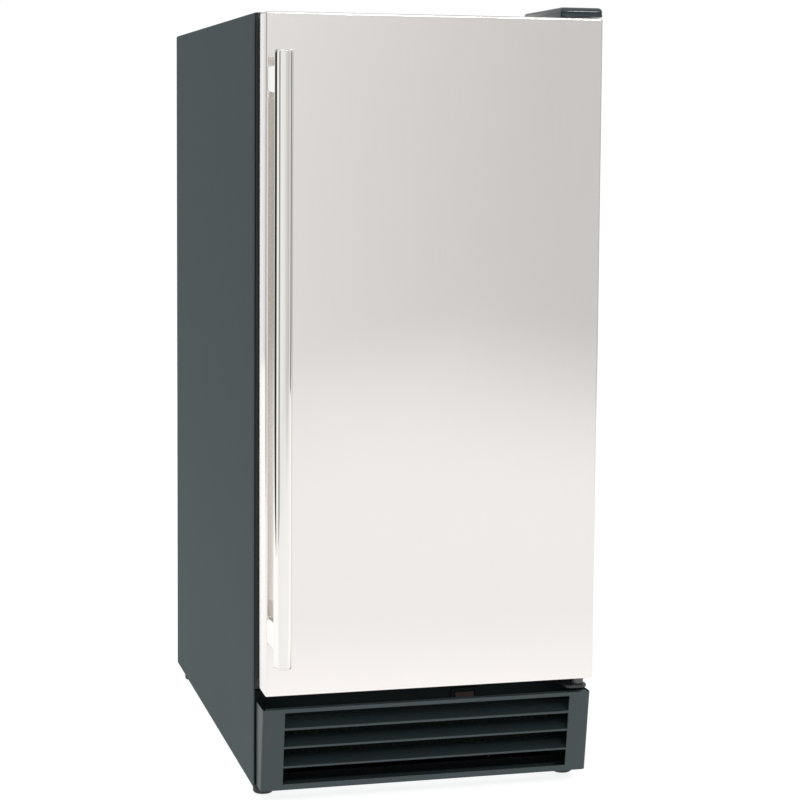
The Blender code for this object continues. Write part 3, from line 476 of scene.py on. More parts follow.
class Graph:
    """A material's nodes, added one at a time."""

    def __init__(self, tree: bpy.types.NodeTree) -> None:
        """Starts with an empty tree."""
        self.tree = tree
        tree.nodes.clear()

    def add(self, kind: str, sockets: dict[str, object] | None = None, **settings: object) -> bpy.types.Node:
        """Adds a node, sets its options, and fills or links its sockets.

        Args:
            kind: the node's type.
            sockets: a value or another node's output for each named socket.
            settings: the node's own options.

        Returns:
            The node.
        """
        node = self.tree.nodes.new(kind)
        for name, value in settings.items():
            setattr(node, name, value)
        for name, value in (sockets or {}).items():
            socket = node.inputs[int(name)] if name.isdigit() else node.inputs[name]
            if isinstance(value, bpy.types.NodeSocket):
                self.tree.links.new(value, socket)
            else:
                socket.default_value = value
        return node

    def between(self, share: bpy.types.NodeSocket, low: float, high: float) -> bpy.types.NodeSocket:
        """A number that runs from low to high as the share runs from 0 to 1."""
        sockets = {"Value": share, "To Min": low, "To Max": high}
        return self.add("ShaderNodeMapRange", sockets).outputs["Result"]

    def blend(self, share: bpy.types.NodeSocket, first: object, second: object) -> bpy.types.NodeSocket:
        """A colour mixed from two."""
        sockets = {"Factor": share, "6": first, "7": second}
        return self.add("ShaderNodeMix", sockets, data_type="RGBA").outputs[2]


@dataclass(frozen=True)
class Finish:
    """One of the object's finishes, drawn in Object coordinates.

    The grain is a fine structure of a set size, stretched by direction. It shifts the colour, the
    roughness and the relief. A slow cloud a few centimetres across shifts the colour and roughness too.
    """

    slot: str
    colour: Point
    roughness: float
    metallic: float = 0.0
    grain: Grain = Grain.PEEL
    size: float = 0.0007
    stretch: Point = (1.0, 1.0, 1.0)
    shade: float = 0.10
    cloud: float = 0.06
    polish: float = 0.05
    relief: float = 0.00005
    strength: float = 0.20
    specular: float = 0.5
    coat: float = 0.0
    clear: float = 0.0
    spread: float = 0.0
    name: str = ""

    def material(self) -> bpy.types.Material:
        """The finish's material, made the first time it is asked for."""
        label = self.name or self.slot
        made = bpy.data.materials.get(f"finish_{label}")
        return made or self._draw(f"finish_{label}")

    def _draw(self, label: str) -> bpy.types.Material:
        """Builds the material's nodes."""
        material = bpy.data.materials.new(label)
        material.use_nodes = True
        graph = Graph(material.node_tree)
        texture = graph.add("ShaderNodeTexCoord")
        coordinates = texture.outputs["Object"]
        scale = tuple(part / self.size for part in self.stretch)
        mapped = graph.add("ShaderNodeMapping", {"Vector": coordinates, "Scale": scale}).outputs[0]
        fine, height = self._grain(graph, mapped)
        cloud_sockets = {"Vector": coordinates, "Scale": 14.0, "Detail": 3.0, "Roughness": 0.55}
        cloud = graph.add("ShaderNodeTexNoise", cloud_sockets).outputs[0]
        level = np.array(self.colour)
        dark, light = (self._tone(level * (1 + side * self.shade)) for side in (-1, 1))
        colour = graph.blend(fine, dark, light)
        deep, pale = (self._tone(np.full(3, 1 + side * self.cloud)) for side in (-1, 1))
        drift = graph.blend(cloud, deep, pale)
        sockets = {"Factor": 1.0, "6": colour, "7": drift}
        settings = {"data_type": "RGBA", "blend_type": "MULTIPLY"}
        colour = graph.add("ShaderNodeMix", sockets, **settings).outputs[2]
        mixed = graph.add("ShaderNodeMath", {"0": fine, "1": cloud}, operation="ADD").outputs[0]
        halved = graph.add("ShaderNodeMath", {"0": mixed, "1": 0.5}, operation="MULTIPLY").outputs[0]
        gloss = graph.between(halved, self.roughness - self.polish, self.roughness + self.polish)
        bump_sockets = {"Height": height, "Strength": self.strength, "Distance": self.relief}
        bump = graph.add("ShaderNodeBump", bump_sockets).outputs[0]
        shader_sockets = {
            "Base Color": colour,
            "Roughness": gloss,
            "Metallic": self.metallic,
            "Normal": bump,
            "Specular IOR Level": self.specular,
            "Coat Weight": self.coat,
            "Coat Roughness": 0.12,
            "Transmission Weight": self.clear,
            "Anisotropic": self.spread,
            "IOR": 1.47,
        }
        shader = graph.add("ShaderNodeBsdfPrincipled", shader_sockets).outputs[0]
        graph.add("ShaderNodeOutputMaterial", {"Surface": shader})
        return material

    @staticmethod
    def _tone(level: Array) -> tuple[float, float, float, float]:
        """A colour held between black and white, with full alpha."""
        red, green, blue = np.clip(level, 0, 1).tolist()
        return (red, green, blue, 1.0)

    def _grain(
        self, graph: Graph, mapped: bpy.types.NodeSocket,
    ) -> tuple[bpy.types.NodeSocket, bpy.types.NodeSocket]:
        """The grain as a share from 0 to 1, and as a height."""
        if self.grain is Grain.SPANGLE:
            cells = graph.add("ShaderNodeTexVoronoi", {"Vector": mapped, "Scale": 1.0})
            share = graph.add("ShaderNodeSeparateColor", {"Color": cells.outputs["Color"]}).outputs[0]
            return share, cells.outputs["Distance"]
        if self.grain is Grain.CELLS:
            cells = graph.add("ShaderNodeTexVoronoi", {"Vector": mapped, "Scale": 1.0}, feature="SMOOTH_F1")
            return cells.outputs["Distance"], cells.outputs["Distance"]
        detail = {Grain.BRUSHED: 4.0, Grain.PEEL: 2.0, Grain.CLOUDED: 6.0}[self.grain]
        sockets = {"Vector": mapped, "Scale": 1.0, "Detail": detail, "Roughness": 0.6}
        noise = graph.add("ShaderNodeTexNoise", sockets).outputs[0]
        return graph.between(noise, -0.35, 1.35), noise


STREAKS = (1.0, 1.0, 0.012)
STEEL = Finish(
    "brushed_stainless", (0.835, 0.803, 0.778), 0.12, metallic=1.0, grain=Grain.BRUSHED, size=0.0004,
    stretch=STREAKS, shade=0.018, cloud=0.006, polish=0.02, relief=0.00001, strength=0.10,
)
CHROME = Finish(
    "polished_chrome", (0.87, 0.85, 0.82), 0.05, metallic=1.0, grain=Grain.CLOUDED, size=0.02, shade=0.01,
    cloud=0.01, polish=0.02, relief=0.00001, strength=0.03,
)
PAINT = Finish(
    "cabinet_paint", (0.059, 0.080, 0.085), 0.60, size=0.0011, shade=0.16, cloud=0.04, relief=0.00008,
    strength=0.35, specular=0.05,
)
GRILLE = Finish("grille_plastic", (0.041, 0.055, 0.059), 0.40, cloud=0.04, strength=0.25, specular=0.25)
BLACK = Finish("black_plastic", (0.016, 0.019, 0.020), 0.30, size=0.0008, shade=0.12, polish=0.06)
# Near-black copy of the black plastic for the recessed front rail and the switch surround: painted shade for
# the recess under the door.
RAIL_SHADE = Finish(
    "black_plastic", (0.004, 0.007, 0.007), 0.62, size=0.0012, shade=0.14, relief=0.00006, strength=0.3,
    specular=0.08, name="rail_painted_shade",
)
# Near-black filter mesh: partly the filter's own black, partly painted shade that darkens the grille's slots.
MESH = Finish(
    "black_plastic", (0.008, 0.009, 0.009), 0.85, grain=Grain.CELLS, size=0.0016, shade=0.30, relief=0.0003,
    strength=0.6, specular=0.1, name="filter_mesh_painted_shade",
)
# Darker copy of the grille plastic for the blades: painted shade for the blades sitting in shade inside the
# slots.
BLADE_SHADE = Finish(
    "grille_plastic", (0.018, 0.027, 0.029), 0.36, cloud=0.04, strength=0.25, specular=0.35,
    name="grille_blade_painted_shade",
)
KEY = Finish(
    "black_plastic", (0.022, 0.013, 0.012), 0.45, size=0.0006, shade=0.12, polish=0.06, specular=0.20,
    name="rocker_red",
)
NOSE = Finish(
    "black_plastic", (0.008, 0.020, 0.024), 0.14, size=0.0010, cloud=0.05, polish=0.04, relief=0.00003,
    strength=0.12, specular=0.60, coat=0.3, name="hinge_gloss",
)
# Darkened copy of the zinc for the lower hinge pin: painted shade for the pin under the door.
ZINC_SHADE = Finish(
    "zinc_steel", (0.11, 0.11, 0.115), 0.38, metallic=1.0, grain=Grain.CLOUDED, size=0.004, polish=0.08,
    relief=0.00002, strength=0.15, name="zinc_painted_shade",
)
RUBBER = Finish(
    "gasket_rubber", (0.011, 0.014, 0.014), 0.68, size=0.0005, shade=0.15, cloud=0.10, polish=0.08,
    relief=0.00004, strength=0.3, specular=0.15,
)
WHITE = Finish(
    "liner_plastic", (0.78, 0.80, 0.80), 0.30, size=0.0030, shade=0.012, cloud=0.015, polish=0.04,
    relief=0.00006, coat=0.15,
)
FOAM = Finish(
    "insulation", (0.80, 0.68, 0.38), 0.92, grain=Grain.CELLS, size=0.0035, shade=0.16, cloud=0.10,
    relief=0.0012, strength=0.8, specular=0.2,
)
ZINC = Finish(
    "zinc_steel", (0.56, 0.575, 0.585), 0.36, metallic=1.0, grain=Grain.SPANGLE, size=0.0080, shade=0.14,
    cloud=0.05, polish=0.08, relief=0.00002, strength=0.15,
)
BOLT = Finish(
    "zinc_steel", (0.62, 0.61, 0.58), 0.30, metallic=1.0, grain=Grain.CLOUDED, size=0.004, polish=0.08,
    relief=0.00002, strength=0.15, name="bolt_zinc",
)
ENAMEL = Finish(
    "compressor_black", (0.012, 0.012, 0.013), 0.26, size=0.0045, cloud=0.05, relief=0.00015, strength=0.3,
    coat=0.3,
)
COPPER = Finish(
    "copper", (0.72, 0.36, 0.22), 0.26, metallic=1.0, grain=Grain.CLOUDED, size=0.012, shade=0.16,
    cloud=0.12, polish=0.10, relief=0.00002, strength=0.1,
)
FINS = Finish(
    "aluminium_fin", (0.72, 0.73, 0.74), 0.34, metallic=1.0, grain=Grain.BRUSHED, size=0.0006,
    stretch=(1.0, 1.0, 0.03), shade=0.06, cloud=0.05, polish=0.06, relief=0.00002, strength=0.15,
)
NICKEL = Finish(
    "nickel_plate", (0.70, 0.68, 0.64), 0.24, metallic=1.0, grain=Grain.CLOUDED, size=0.018, shade=0.06,
    polish=0.08, relief=0.00003, strength=0.12,
)
CLEAR = Finish(
    "clear_plastic", (0.80, 0.87, 0.89), 0.18, size=0.0040, shade=0.03, cloud=0.02, relief=0.00008,
    clear=0.75,
)
HOSE = Finish(
    "silicone_hose", (0.74, 0.77, 0.76), 0.42, size=0.0020, shade=0.05, cloud=0.05, polish=0.06,
    relief=0.00006, specular=0.45, clear=0.25,
)
SCOOP = Finish(
    "scoop_plastic", (0.62, 0.73, 0.80), 0.22, size=0.0030, shade=0.03, cloud=0.03, relief=0.00006,
    clear=0.45,
)
FOOT = Finish(
    "foot_plastic", (0.028, 0.029, 0.031), 0.52, shade=0.14, cloud=0.10, polish=0.07, strength=0.3,
    specular=0.4,
)
FINISHES = (
    STEEL, CHROME, PAINT, GRILLE, BLACK, RUBBER, WHITE, FOAM, ZINC, ENAMEL, COPPER, FINS, NICKEL, CLEAR,
    HOSE, SCOOP, FOOT,
)


# Painted shade: the front rail gets a near-black copy of its plastic and the lower hinge pin a darkened zinc,
# both for the shade under the door.
SPECIAL = {"front_rail": RAIL_SHADE, "lower_hinge_pin": ZINC_SHADE}


def dress_kept_nodes() -> None:
    """Gives every CAD node that still shows a finish of its material slot."""
    by_slot = {finish.slot: finish for finish in FINISHES}
    slot_of = {part["node"]: part["material_slot"] for part in frame["record"]["subparts"]}
    for name, node in frame["nodes"].items():
        if node.hide_render:
            continue
        material = SPECIAL.get(name, by_slot[slot_of[name]]).material()
        for index in range(len(node.material_slots)):
            node.material_slots[index].material = material
        LOG.info("%s: kept from the frame, %s", name, material.name)


# Small fastenings that several sub-assemblies share


def screw_head(centre: Point, axis: Axis, side: int, radius: float = 0.0038) -> Array:
    """A domed screw head with a cross recess.

    Over a polar grid the height is a dome, one minus 0.4 times the squared share of the radius, less
    a cross: the recess is deep where the smaller of the two plane distances is under a slot's half
    width and the larger is under the slot's reach.

    Args:
        centre: where the head's seat stands.
        axis: the axis that the head faces along.
        side: 1 or -1 for facing up or down that axis.
        radius: the head's radius.

    Returns:
        A grid to be closed at both ends.
    """
    share = np.array([0.02, 0.1, 0.16, 0.24, 0.4, 0.56, 0.66, 0.86, 1.0])
    angle = np.arange(32) * 2 * math.pi / 32
    plane = share[:, None, None] * np.stack([np.cos(angle), np.sin(angle)], axis=1)
    near, far = np.abs(plane).min(-1), np.abs(plane).max(-1)
    cross = np.clip((0.17 - near) / 0.06, 0, 1) * np.clip((0.62 - far) / 0.08, 0, 1)
    height = radius * (0.55 * (1 - 0.4 * share[:, None] ** 2) - 0.30 * cross)
    plane = chain(plane, plane[-1:]) * radius
    height = chain(height, np.zeros((1, 32))) * side
    grid = np.concatenate([plane, height[..., None]], axis=-1)[..., list(axis.value)]
    return grid + np.array(centre)


def hex_nut(centre: Point, axis: Axis, across: float, low: float, high: float) -> Array:
    """A hexagon prism with softened ends, its flats that far apart."""
    angle = np.arange(6) * math.pi / 3
    corners = across / math.sqrt(3) * np.stack([np.cos(angle), np.sin(angle)], axis=1)
    middle = np.array(centre)[[axis.value.index(0), axis.value.index(1)]]
    return prism(fillet(corners, 0.0006, 3) + middle, axis, low, high, 0.0005)


# Sub-assemblies


@dataclass
class Cabinet:
    """The painted wrap, the face frame, the insulated compartment, and the back."""

    wrap: Extent = box_of("cabinet_shell")
    foam: Extent = box_of("insulation_foam")
    face: Extent = box_of("front_frame")
    back: Extent = box_of("rear_panel")
    access: Extent = box_of("rear_access_panel")
    sheet: float = 0.0008
    fold: float = 0.0024
    hem: float = 0.0120
    bin_half: float = 0.1425
    bin_floor: float = 0.1750
    bin_top: float = 0.7950
    bin_back: float = 0.2850
    ledge: float = 0.3000
    ledge_run: Pair = (0.0300, 0.0700)
    foam_step: Point = (0.0700, 0.1050, 0.2622)
    corner: float = 0.0160
    louvres: int = 11
    ports: tuple[Point, ...] = ((0.125, 0.090, 0.0110), (0.075, 0.045, 0.0100), (-0.150, 0.055, 0.0090))

    def build(self) -> None:
        """Makes every piece of the cabinet."""
        self._wrap()
        self._face_frame()
        self._compartment()
        self._rear_panel()
        self._access_panel()
        self._fastenings()

    def _wrap(self) -> None:
        """Two sides and the top in one folded sheet, its front edge folded back on itself.

        The outline is a line up, across and down, with filleted folds, and the same line moved in by
        the wall. At the folded nose the outer line moves in by the sheet times one minus the sine of
        a turning angle while the wall grows with the sine, which makes the nose a half round.
        """
        angle = np.linspace(0.18, QUARTER, 5)
        nose = np.column_stack([
            self.sheet * (1 - np.sin(angle)), 2 * self.sheet * np.sin(angle),
            self.sheet * (1 - np.cos(angle)),
        ])
        rest = [
            [0, 2 * self.sheet, self.hem], [0, self.sheet, self.hem + self.sheet],
            [0, self.sheet, self.wrap.size[1]],
        ]
        stations = chain(nose, rest)
        loops = np.stack([self._section(inset, wall) for inset, wall, _ in stations])
        rows = place(loops, self.wrap.low[1] + stations[:, 2], Axis.Y)
        Skin().solid(rows).piece("cabinet_wrap", PAINT, "cabinet", "cabinet_shell")

    def _section(self, inset: float, wall: float) -> Array:
        """The wrap's outline, drawn in by an inset and with that wall."""
        half, floor, top = self.wrap.high[0], self.wrap.low[2], self.wrap.high[2]
        lines = []
        for drawn in (inset, inset + wall):
            side, roof = half - drawn, top - drawn
            corners = np.array([[-side, floor], [-side, roof], [side, roof], [side, floor]])
            lines.append(fillet(corners, max(self.fold - drawn, 0.0004), 5, closed=False))
        return chain(lines[0], lines[1][::-1])

    def _face_frame(self) -> None:
        """The flat frame round the opening, a ring with a soft inner edge and rounded corners."""
        front, rear = self.face.low[1] + 0.0003, self.face.high[1]
        outer = self.face.across(Axis.Y) + np.array([1, -1, 1, -1]) * 0.0008
        inner = np.array([-self.bin_half, self.bin_half, self.bin_floor, self.bin_top])
        outside = nested(outer, 0.002, chain([[0, rear]], roll(0, front, 0.0008, 1)[::-1]))
        inside = nested(inner, self.corner, roll(0, front, 0.0020, 1) * [-1, 1])
        inside = chain(inside, nested(inner, self.corner, np.array([[0, rear]])))
        Skin().hoop(
            lofted(chain(outside, inside), Axis.Y, 8)
        ).piece("face_frame", BLACK, "cabinet", "front_frame")

    def _compartment(self) -> None:
        """The moulded liner: rounded rectangles carried from the opening to the back.

        Going back, the floor line follows a filleted ramp up to the ledge. At the back wall every
        side draws in by the radius times one minus the cosine of a turning angle, and the depth by
        the radius times its sine. The outer wall repeats the stations, moved out by the wall.
        """
        wall, radius, front = 0.0019, 0.0180, self.face.high[1] + 0.0004
        ramp = np.array([
            [front, self.bin_floor], [self.ledge_run[0], self.bin_floor],
            [self.ledge_run[1], self.ledge], [self.bin_back - radius, self.ledge],
        ])
        ramp = fillet(ramp, 0.0220, 8, closed=False)
        lip = np.array([[front + 0.004, self.bin_floor]])
        depth, floor = chain(ramp[:1], lip, ramp[1:]).T
        angle = np.linspace(0, QUARTER, 7)[1:]
        drawn = chain(np.zeros(len(depth)), radius * (1 - np.cos(angle)))
        depth = chain(depth, self.bin_back - radius + radius * np.sin(angle))
        floor = chain(floor, np.full(6, self.ledge))
        half = np.full(len(depth), self.bin_half)
        top = np.full(len(depth), self.bin_top)
        corner = np.maximum(np.full(len(depth), self.corner + 0.006) - drawn, 0.004)
        inner = np.column_stack([drawn - half, half - drawn, floor + drawn, top - drawn, corner, depth])
        outer = inner + np.array([-wall, wall, -wall, wall, wall, 0])
        outer[-1, 5] += wall
        rows = lofted(chain(inner[::-1], outer), Axis.Y, 8)
        Skin().solid(rows).piece("bin_liner", WHITE, "cabinet", "inner_liner")
        self._insulation(outer)

    def _insulation(self, lining: Array) -> None:
        """The foam between the wrap and the liner, its floor stepping up over the machinery.

        Args:
            lining: the liner's outer stations, which the foam's hollow follows a hair outside.
        """
        gap = 0.0005
        hollow = lining + np.array([-gap, gap, -gap, gap, gap, 0])
        hollow[-1, 5] += gap
        start, end, high = self.foam_step
        low, top = self.foam.low, self.foam.high
        runs = [(hollow[0, 5], low[2]), (start, low[2]), (end, high), (top[1] - 0.0005, high)]
        shell = np.array([[low[0], top[0], floor, top[2], 0.0040, depth] for depth, floor in runs])
        shell[-1, :4] += np.array([1, -1, 0, -1]) * 0.0040
        rows = lofted(chain(hollow[::-1], shell), Axis.Y, 8)
        Skin().solid(rows).piece("cabinet_foam", FOAM, "cabinet", "insulation_foam")

    def _rear_panel(self) -> None:
        """The upper back: a sheet with a folded foot and two pressed fields for stiffness.

        The side outline is a filleted line from the foot up the back. A field pushes the sheet out
        by its depth times the product of a plateau across and a plateau up.
        """
        out, foot = self.back.high[1], self.back.low[1]
        bottom, top = self.back.low[2] + self.sheet, self.back.high[2]
        bend = fillet(np.array([[foot, bottom], [out, bottom], [out, top]]), 0.0020, 4, closed=False)
        climb = np.linspace(bottom + 0.0060, top, 110)[:-1]
        line = chain(bend[:-1], np.column_stack([np.full(len(climb), out), climb]), bend[-1:])
        across = np.linspace(self.back.low[0] + 0.0006, self.back.high[0] - 0.0006, 93)
        x, z = np.meshgrid(across, line[:, 1])
        y = np.repeat(line[:, :1], len(across), axis=1)
        field_height = swell(z, bottom + 0.040, top - 0.040, 0.006)
        fields = swell(np.abs(x), 0.018, 0.158, 0.006) * field_height
        creases = swell(np.abs(x), 0.078, 0.098, 0.006) * swell(z, bottom + 0.070, top - 0.070, 0.012)
        outer = np.stack([x, y + 0.0022 * fields - 0.0016 * creases, z], axis=-1)
        normal = unit(np.cross(np.gradient(outer, axis=0), np.gradient(outer, axis=1)))
        normal *= np.where(normal[-1, 0, 1] < 0, 1, -1)
        Skin().sheet(outer, outer + self.sheet * normal).piece("back_panel", ZINC, "cabinet", "rear_panel")

    def _access_panel(self) -> None:
        """The lower back: a flat sheet with two columns of pressed louvres over their slots.

        A louvre's hood is a quarter ellipse swept along its slot: out by the reach times the sine
        and down by the drop times one minus the cosine. The reach fades near the ends as the root of
        one minus the eighth power of the share of the half length.
        """
        front, rear = self.access.low[1], self.access.high[1]
        low, high = self.access.low[2], self.access.high[2]
        slot_low = 0.135 + 0.010 * np.arange(self.louvres)
        z_lines = chain([low], np.stack([slot_low, slot_low + 0.0038], axis=1).ravel(), [high])
        x_lines = np.array([self.access.low[0], -0.140, -0.020, 0.020, 0.140, self.access.high[0]])
        x, z = np.meshgrid(x_lines, z_lines)
        solid = np.ones((len(z_lines) - 1, len(x_lines) - 1), bool)
        solid[1::2, 1] = solid[1::2, 3] = False
        skin = Skin().sheet(
            np.stack([x, np.full_like(x, front), z], -1), np.stack([x, np.full_like(x, rear), z], -1),
            solid,
        )
        along = np.linspace(-1, 1, 17)
        angle = np.linspace(0, QUARTER, 6)[:, None]
        fade = np.sqrt(1 - np.abs(along) ** 8)
        for middle in (-0.080, 0.080):
            for bottom in slot_low:
                hood = np.stack(np.broadcast_arrays(
                    middle + 0.0612 * along,
                    rear - 0.0003 + 0.0032 * fade * np.sin(angle),
                    bottom + 0.0056 - 0.0058 * (1 - np.cos(angle)),
                ), axis=-1)
                skin.sheet(hood, hood - np.array([0, 0.0007, 0.0003]))
        skin.piece("access_panel", ZINC, "cabinet", "rear_access_panel", sharp=40)

    def _fastenings(self) -> None:
        """Screws round the back, and a lock nut on each port."""
        heads = Skin()
        rear, out = self.access.high[1], self.back.high[1]
        edge = self.access.high[0] - 0.009
        for x in (-edge, 0.0, edge):
            heads.solid(screw_head((x, rear, self.access.high[2] - 0.009), Axis.Y, 1))
            heads.solid(screw_head((x, out, self.back.high[2] - 0.010), Axis.Y, 1))
        for z in (0.030, 0.140):
            for x in (-edge, edge):
                heads.solid(screw_head((x, rear, z), Axis.Y, 1))
        for z in (0.300, 0.560):
            for x in (-edge, edge):
                heads.solid(screw_head((x, out, z), Axis.Y, 1))
        heads.piece("back_screws", BOLT, "cabinet")
        nuts = Skin()
        for x, z, radius in self.ports:
            nuts.solid(hex_nut((x, 0, z), Axis.Y, 2 * radius + 0.009, rear + 0.0002, rear + 0.0046))
        nuts.piece("port_lock_nuts", BOLT, "cabinet")


@dataclass
class Hinges:
    """The upper hinge's cover, the lower hinge's shelf, and the upper pin's washer."""

    cover: Extent = box_of("upper_hinge_cover")
    shelf: Extent = box_of("lower_hinge_bracket")
    pin_x: float = 0.1700
    pin_y: float = -0.2580
    wall: float = 0.0014

    def build(self) -> None:
        """Makes the cover, the shelf and the washer."""
        self._cover()
        self._shelf()
        self._bushes()

    def _cover(self) -> None:
        """A hollow moulding with a bullnose front.

        Its outline is a rounded rectangle. Going up, it keeps its size past a shallow groove, then
        draws in along a quarter ellipse that is long at the front and short at the sides and back.
        """
        limits, base, top = self.cover.across(Axis.Z), self.cover.low[2], self.cover.high[2]
        angle = np.linspace(0, QUARTER, 8)
        height = chain(
            base + np.array([0, 0.0034, 0.0037, 0.0043, 0.0046]),
            base + 0.0052 + (top - base - 0.0052) * np.sin(angle),
        )
        front = chain([0, 0, 0.0006, 0.0006, 0], 0.0085 * (1 - np.cos(angle)))
        side = chain([0, 0, 0.0004, 0.0004, 0], 0.0026 * (1 - np.cos(angle)))
        corner = np.maximum(0.0060 - side, 0.002)
        outer = np.column_stack(
            [limits[0] + side, limits[1] - side, limits[2] + front, limits[3] - side, corner, height]
        )
        inner = nested(
            limits, 0.0055,
            np.array([[self.wall, base], [self.wall, base + 0.004], [0.004, base + 0.0066]]),
        )
        inner[:, 2] += np.array([0, 0.001, 0.006])
        rows = lofted(chain(inner[::-1], outer), Axis.Z, 7)
        Skin().solid(rows).piece("hinge_cover", NOSE, "cabinet", "upper_hinge_cover")
        plug = np.array(
            [[0.0001, 0.0003], [0.0028, 0.0003], [0.0034, 0.0001], [0.0034, -0.0006], [0.0001, -0.0006]]
        )
        Skin().solid(
            turned(plug, (self.cover.middle[0], -0.160, top), sides=24)
        ).piece("hinge_cover_plug", BLACK, "cabinet")

    def _shelf(self) -> None:
        """An angle: a shelf with a rounded nose, and a flange up the rail."""
        x0, x1 = self.shelf.low[0], self.shelf.high[0]
        y0, y1 = self.shelf.low[1], self.shelf.high[1]
        floor, top = self.shelf.low[2], self.shelf.high[2]
        nose = fillet(
            np.array([[x0, y1 - 0.0002], [x0 + 0.004, y0], [x1, y0], [x1, y1 - 0.0002]]),
            np.array([0.0005, 0.0090, 0.0085, 0.0005]), 7,
        )
        skin = Skin().solid(prism(nose, Axis.Z, floor, floor + 0.0030, 0.0006))
        flange = fillet(
            np.array([[x0, floor + 0.0005], [x1, floor + 0.0005], [x1, top], [x0, top]]), 0.0012, 4,
        )
        skin.solid(prism(flange, Axis.Y, y1 - 0.0021, y1, 0.0005))
        skin.piece("lower_hinge_shelf", BLACK, "cabinet", "lower_hinge_bracket")

    def _bushes(self) -> None:
        """A nylon washer on top of the door, with a softened rim, round the upper pin."""
        ring = np.array([
            [0.0040, 0], [0.0072, 0], [0.0078, 0.0003], [0.0078, 0.0007], [0.0072, 0.0010],
            [0.0040, 0.0010],
        ])
        washer = Skin().hoop(turned(ring, (self.pin_x, self.pin_y, 0.8391), sides=32))
        washer.piece("hinge_washer", WHITE, "door")


@dataclass
class Door:
    """The stainless pan, the white inner panel and the magnetic gasket."""

    skin: Extent = box_of("door_skin")
    panel: Extent = box_of("door_liner")
    seal: Extent = box_of("door_gasket")
    core: Extent = box_of("door_core")
    sheet: float = 0.0010
    edge: float = 0.0022
    plug_half: float = 0.1350
    plug_low: float = 0.1830
    plug_high: float = 0.7870
    foam_low: float = 0.1390
    foam_high: float = 0.8230

    def build(self) -> None:
        """Makes every piece of the door."""
        self._skin()
        self._insulation()
        self._inner_panel()
        self._gasket()

    def _skin(self) -> None:
        """A deep pan: a front, a quarter-round edge and the returns, with its wall inside."""
        limits, front, rear = self.skin.across(Axis.Y), self.skin.low[1], self.skin.high[1]
        outer = chain(roll(0, front, self.edge, 1, 6), [[0, rear]])
        inner = chain(
            [[self.sheet, rear]], roll(self.sheet, front + self.sheet, self.edge - self.sheet, 1, 4)[::-1],
        )
        rows = lofted(nested(limits, 0.0024, chain(outer, inner)), Axis.Y, 5)
        Skin().solid(rows).piece("door_pan", STEEL, "door", "door_skin", sharp=50)

    def _insulation(self) -> None:
        """The foam, a slab that fills the pan between the hinge pockets and steps into the plug."""
        front, rim = self.core.low[1], self.panel.low[1] - 0.0004
        slab = np.array([self.core.low[0], self.core.high[0], self.foam_low, self.foam_high])
        plug = np.array([-self.plug_half, self.plug_half, self.plug_low, self.plug_high])
        steps = nested(slab, 0.004, np.array([[0, front], [0, rim]]))
        rise = nested(plug, 0.0200, np.array([[0.0045, rim], [0.0050, self.panel.high[1] - 0.0026]]))
        rows = lofted(chain(steps, rise), Axis.Y, 8)
        Skin().solid(rows).piece("door_foam", FOAM, "door", "door_core")

    def _inner_panel(self) -> None:
        """The moulded panel: a flat rim with a gasket groove, then a plug whose middle is raised again.

        Each step is a rounded rectangle drawn in by a set amount at a set depth, and every change of
        level runs over a quarter round.
        """
        rim, rear, front = self.panel.across(Axis.Y), self.panel.low[1] + 0.0025, self.panel.low[1]
        plug = np.array([-self.plug_half, self.plug_half, self.plug_low, self.plug_high])
        deep = self.panel.high[1]
        flat = nested(rim, 0.004, chain([[0, front]], roll(0, rear, 0.0010, -1, 3)[::-1]))
        groove = nested(
            self.seal.across(Axis.Y), 0.0230,
            np.array([[-0.0008, rear], [0, rear - 0.0008], [0.018, rear - 0.0008], [0.0188, rear]]),
        )
        foot = roll(0.0, rear, 0.0050, 1, 4) * [-1, 1]
        shoulder = roll(0.0015, deep, 0.0060, -1, 6)[::-1]
        field_foot = [[0.0190, deep], [0.0200, deep + 0.0002], [0.0210, deep + 0.0008]]
        field_edge = [[0.0222, deep + 0.0018], [0.0232, deep + 0.0024], [0.0246, deep + 0.0026]]
        rise = nested(plug, 0.0220, chain(foot, shoulder, field_foot, field_edge))
        hollow = nested(plug, 0.0200, np.array([[0.0030, front], [0.0040, deep - 0.0020]]))
        rows = lofted(chain(hollow[::-1], flat, groove, rise), Axis.Y, 8)
        Skin().solid(rows).piece("door_inner_panel", WHITE, "door", "door_liner", sharp=40)

    def _gasket(self) -> None:
        """A bellows section carried round a rounded rectangle: foot, two folds and the magnet pocket.

        Each point of the section moves the rounded rectangle outwards by its own width and stands it
        at its own depth.
        """
        near, far = self.seal.low[1], self.seal.high[1]
        centre = self.seal.across(Axis.Y) + np.array([1, -1, 1, -1]) * 0.0090
        section = np.array([
            [-8.8, 0.0], [8.8, 0.0], [8.8, 2.0], [6.0, 2.8], [7.6, 5.2], [5.4, 7.4], [8.0, 9.6],
            [8.2, 14.3], [-7.4, 14.3], [-7.4, 9.8], [-4.2, 7.6], [-6.6, 5.2], [-4.4, 2.8], [-8.8, 2.0],
        ]) / 1000
        section[:, 1] *= (far - near) / 0.0143
        section = fillet(section, 0.0005, 3)
        stations = nested(centre, 0.0140, np.column_stack([-section[:, 0], near + section[:, 1]]))
        stations[:, 4] = 0.0140 + section[:, 0]
        Skin().hoop(lofted(stations, Axis.Y, 8)).piece("door_seal", RUBBER, "door", "door_gasket")


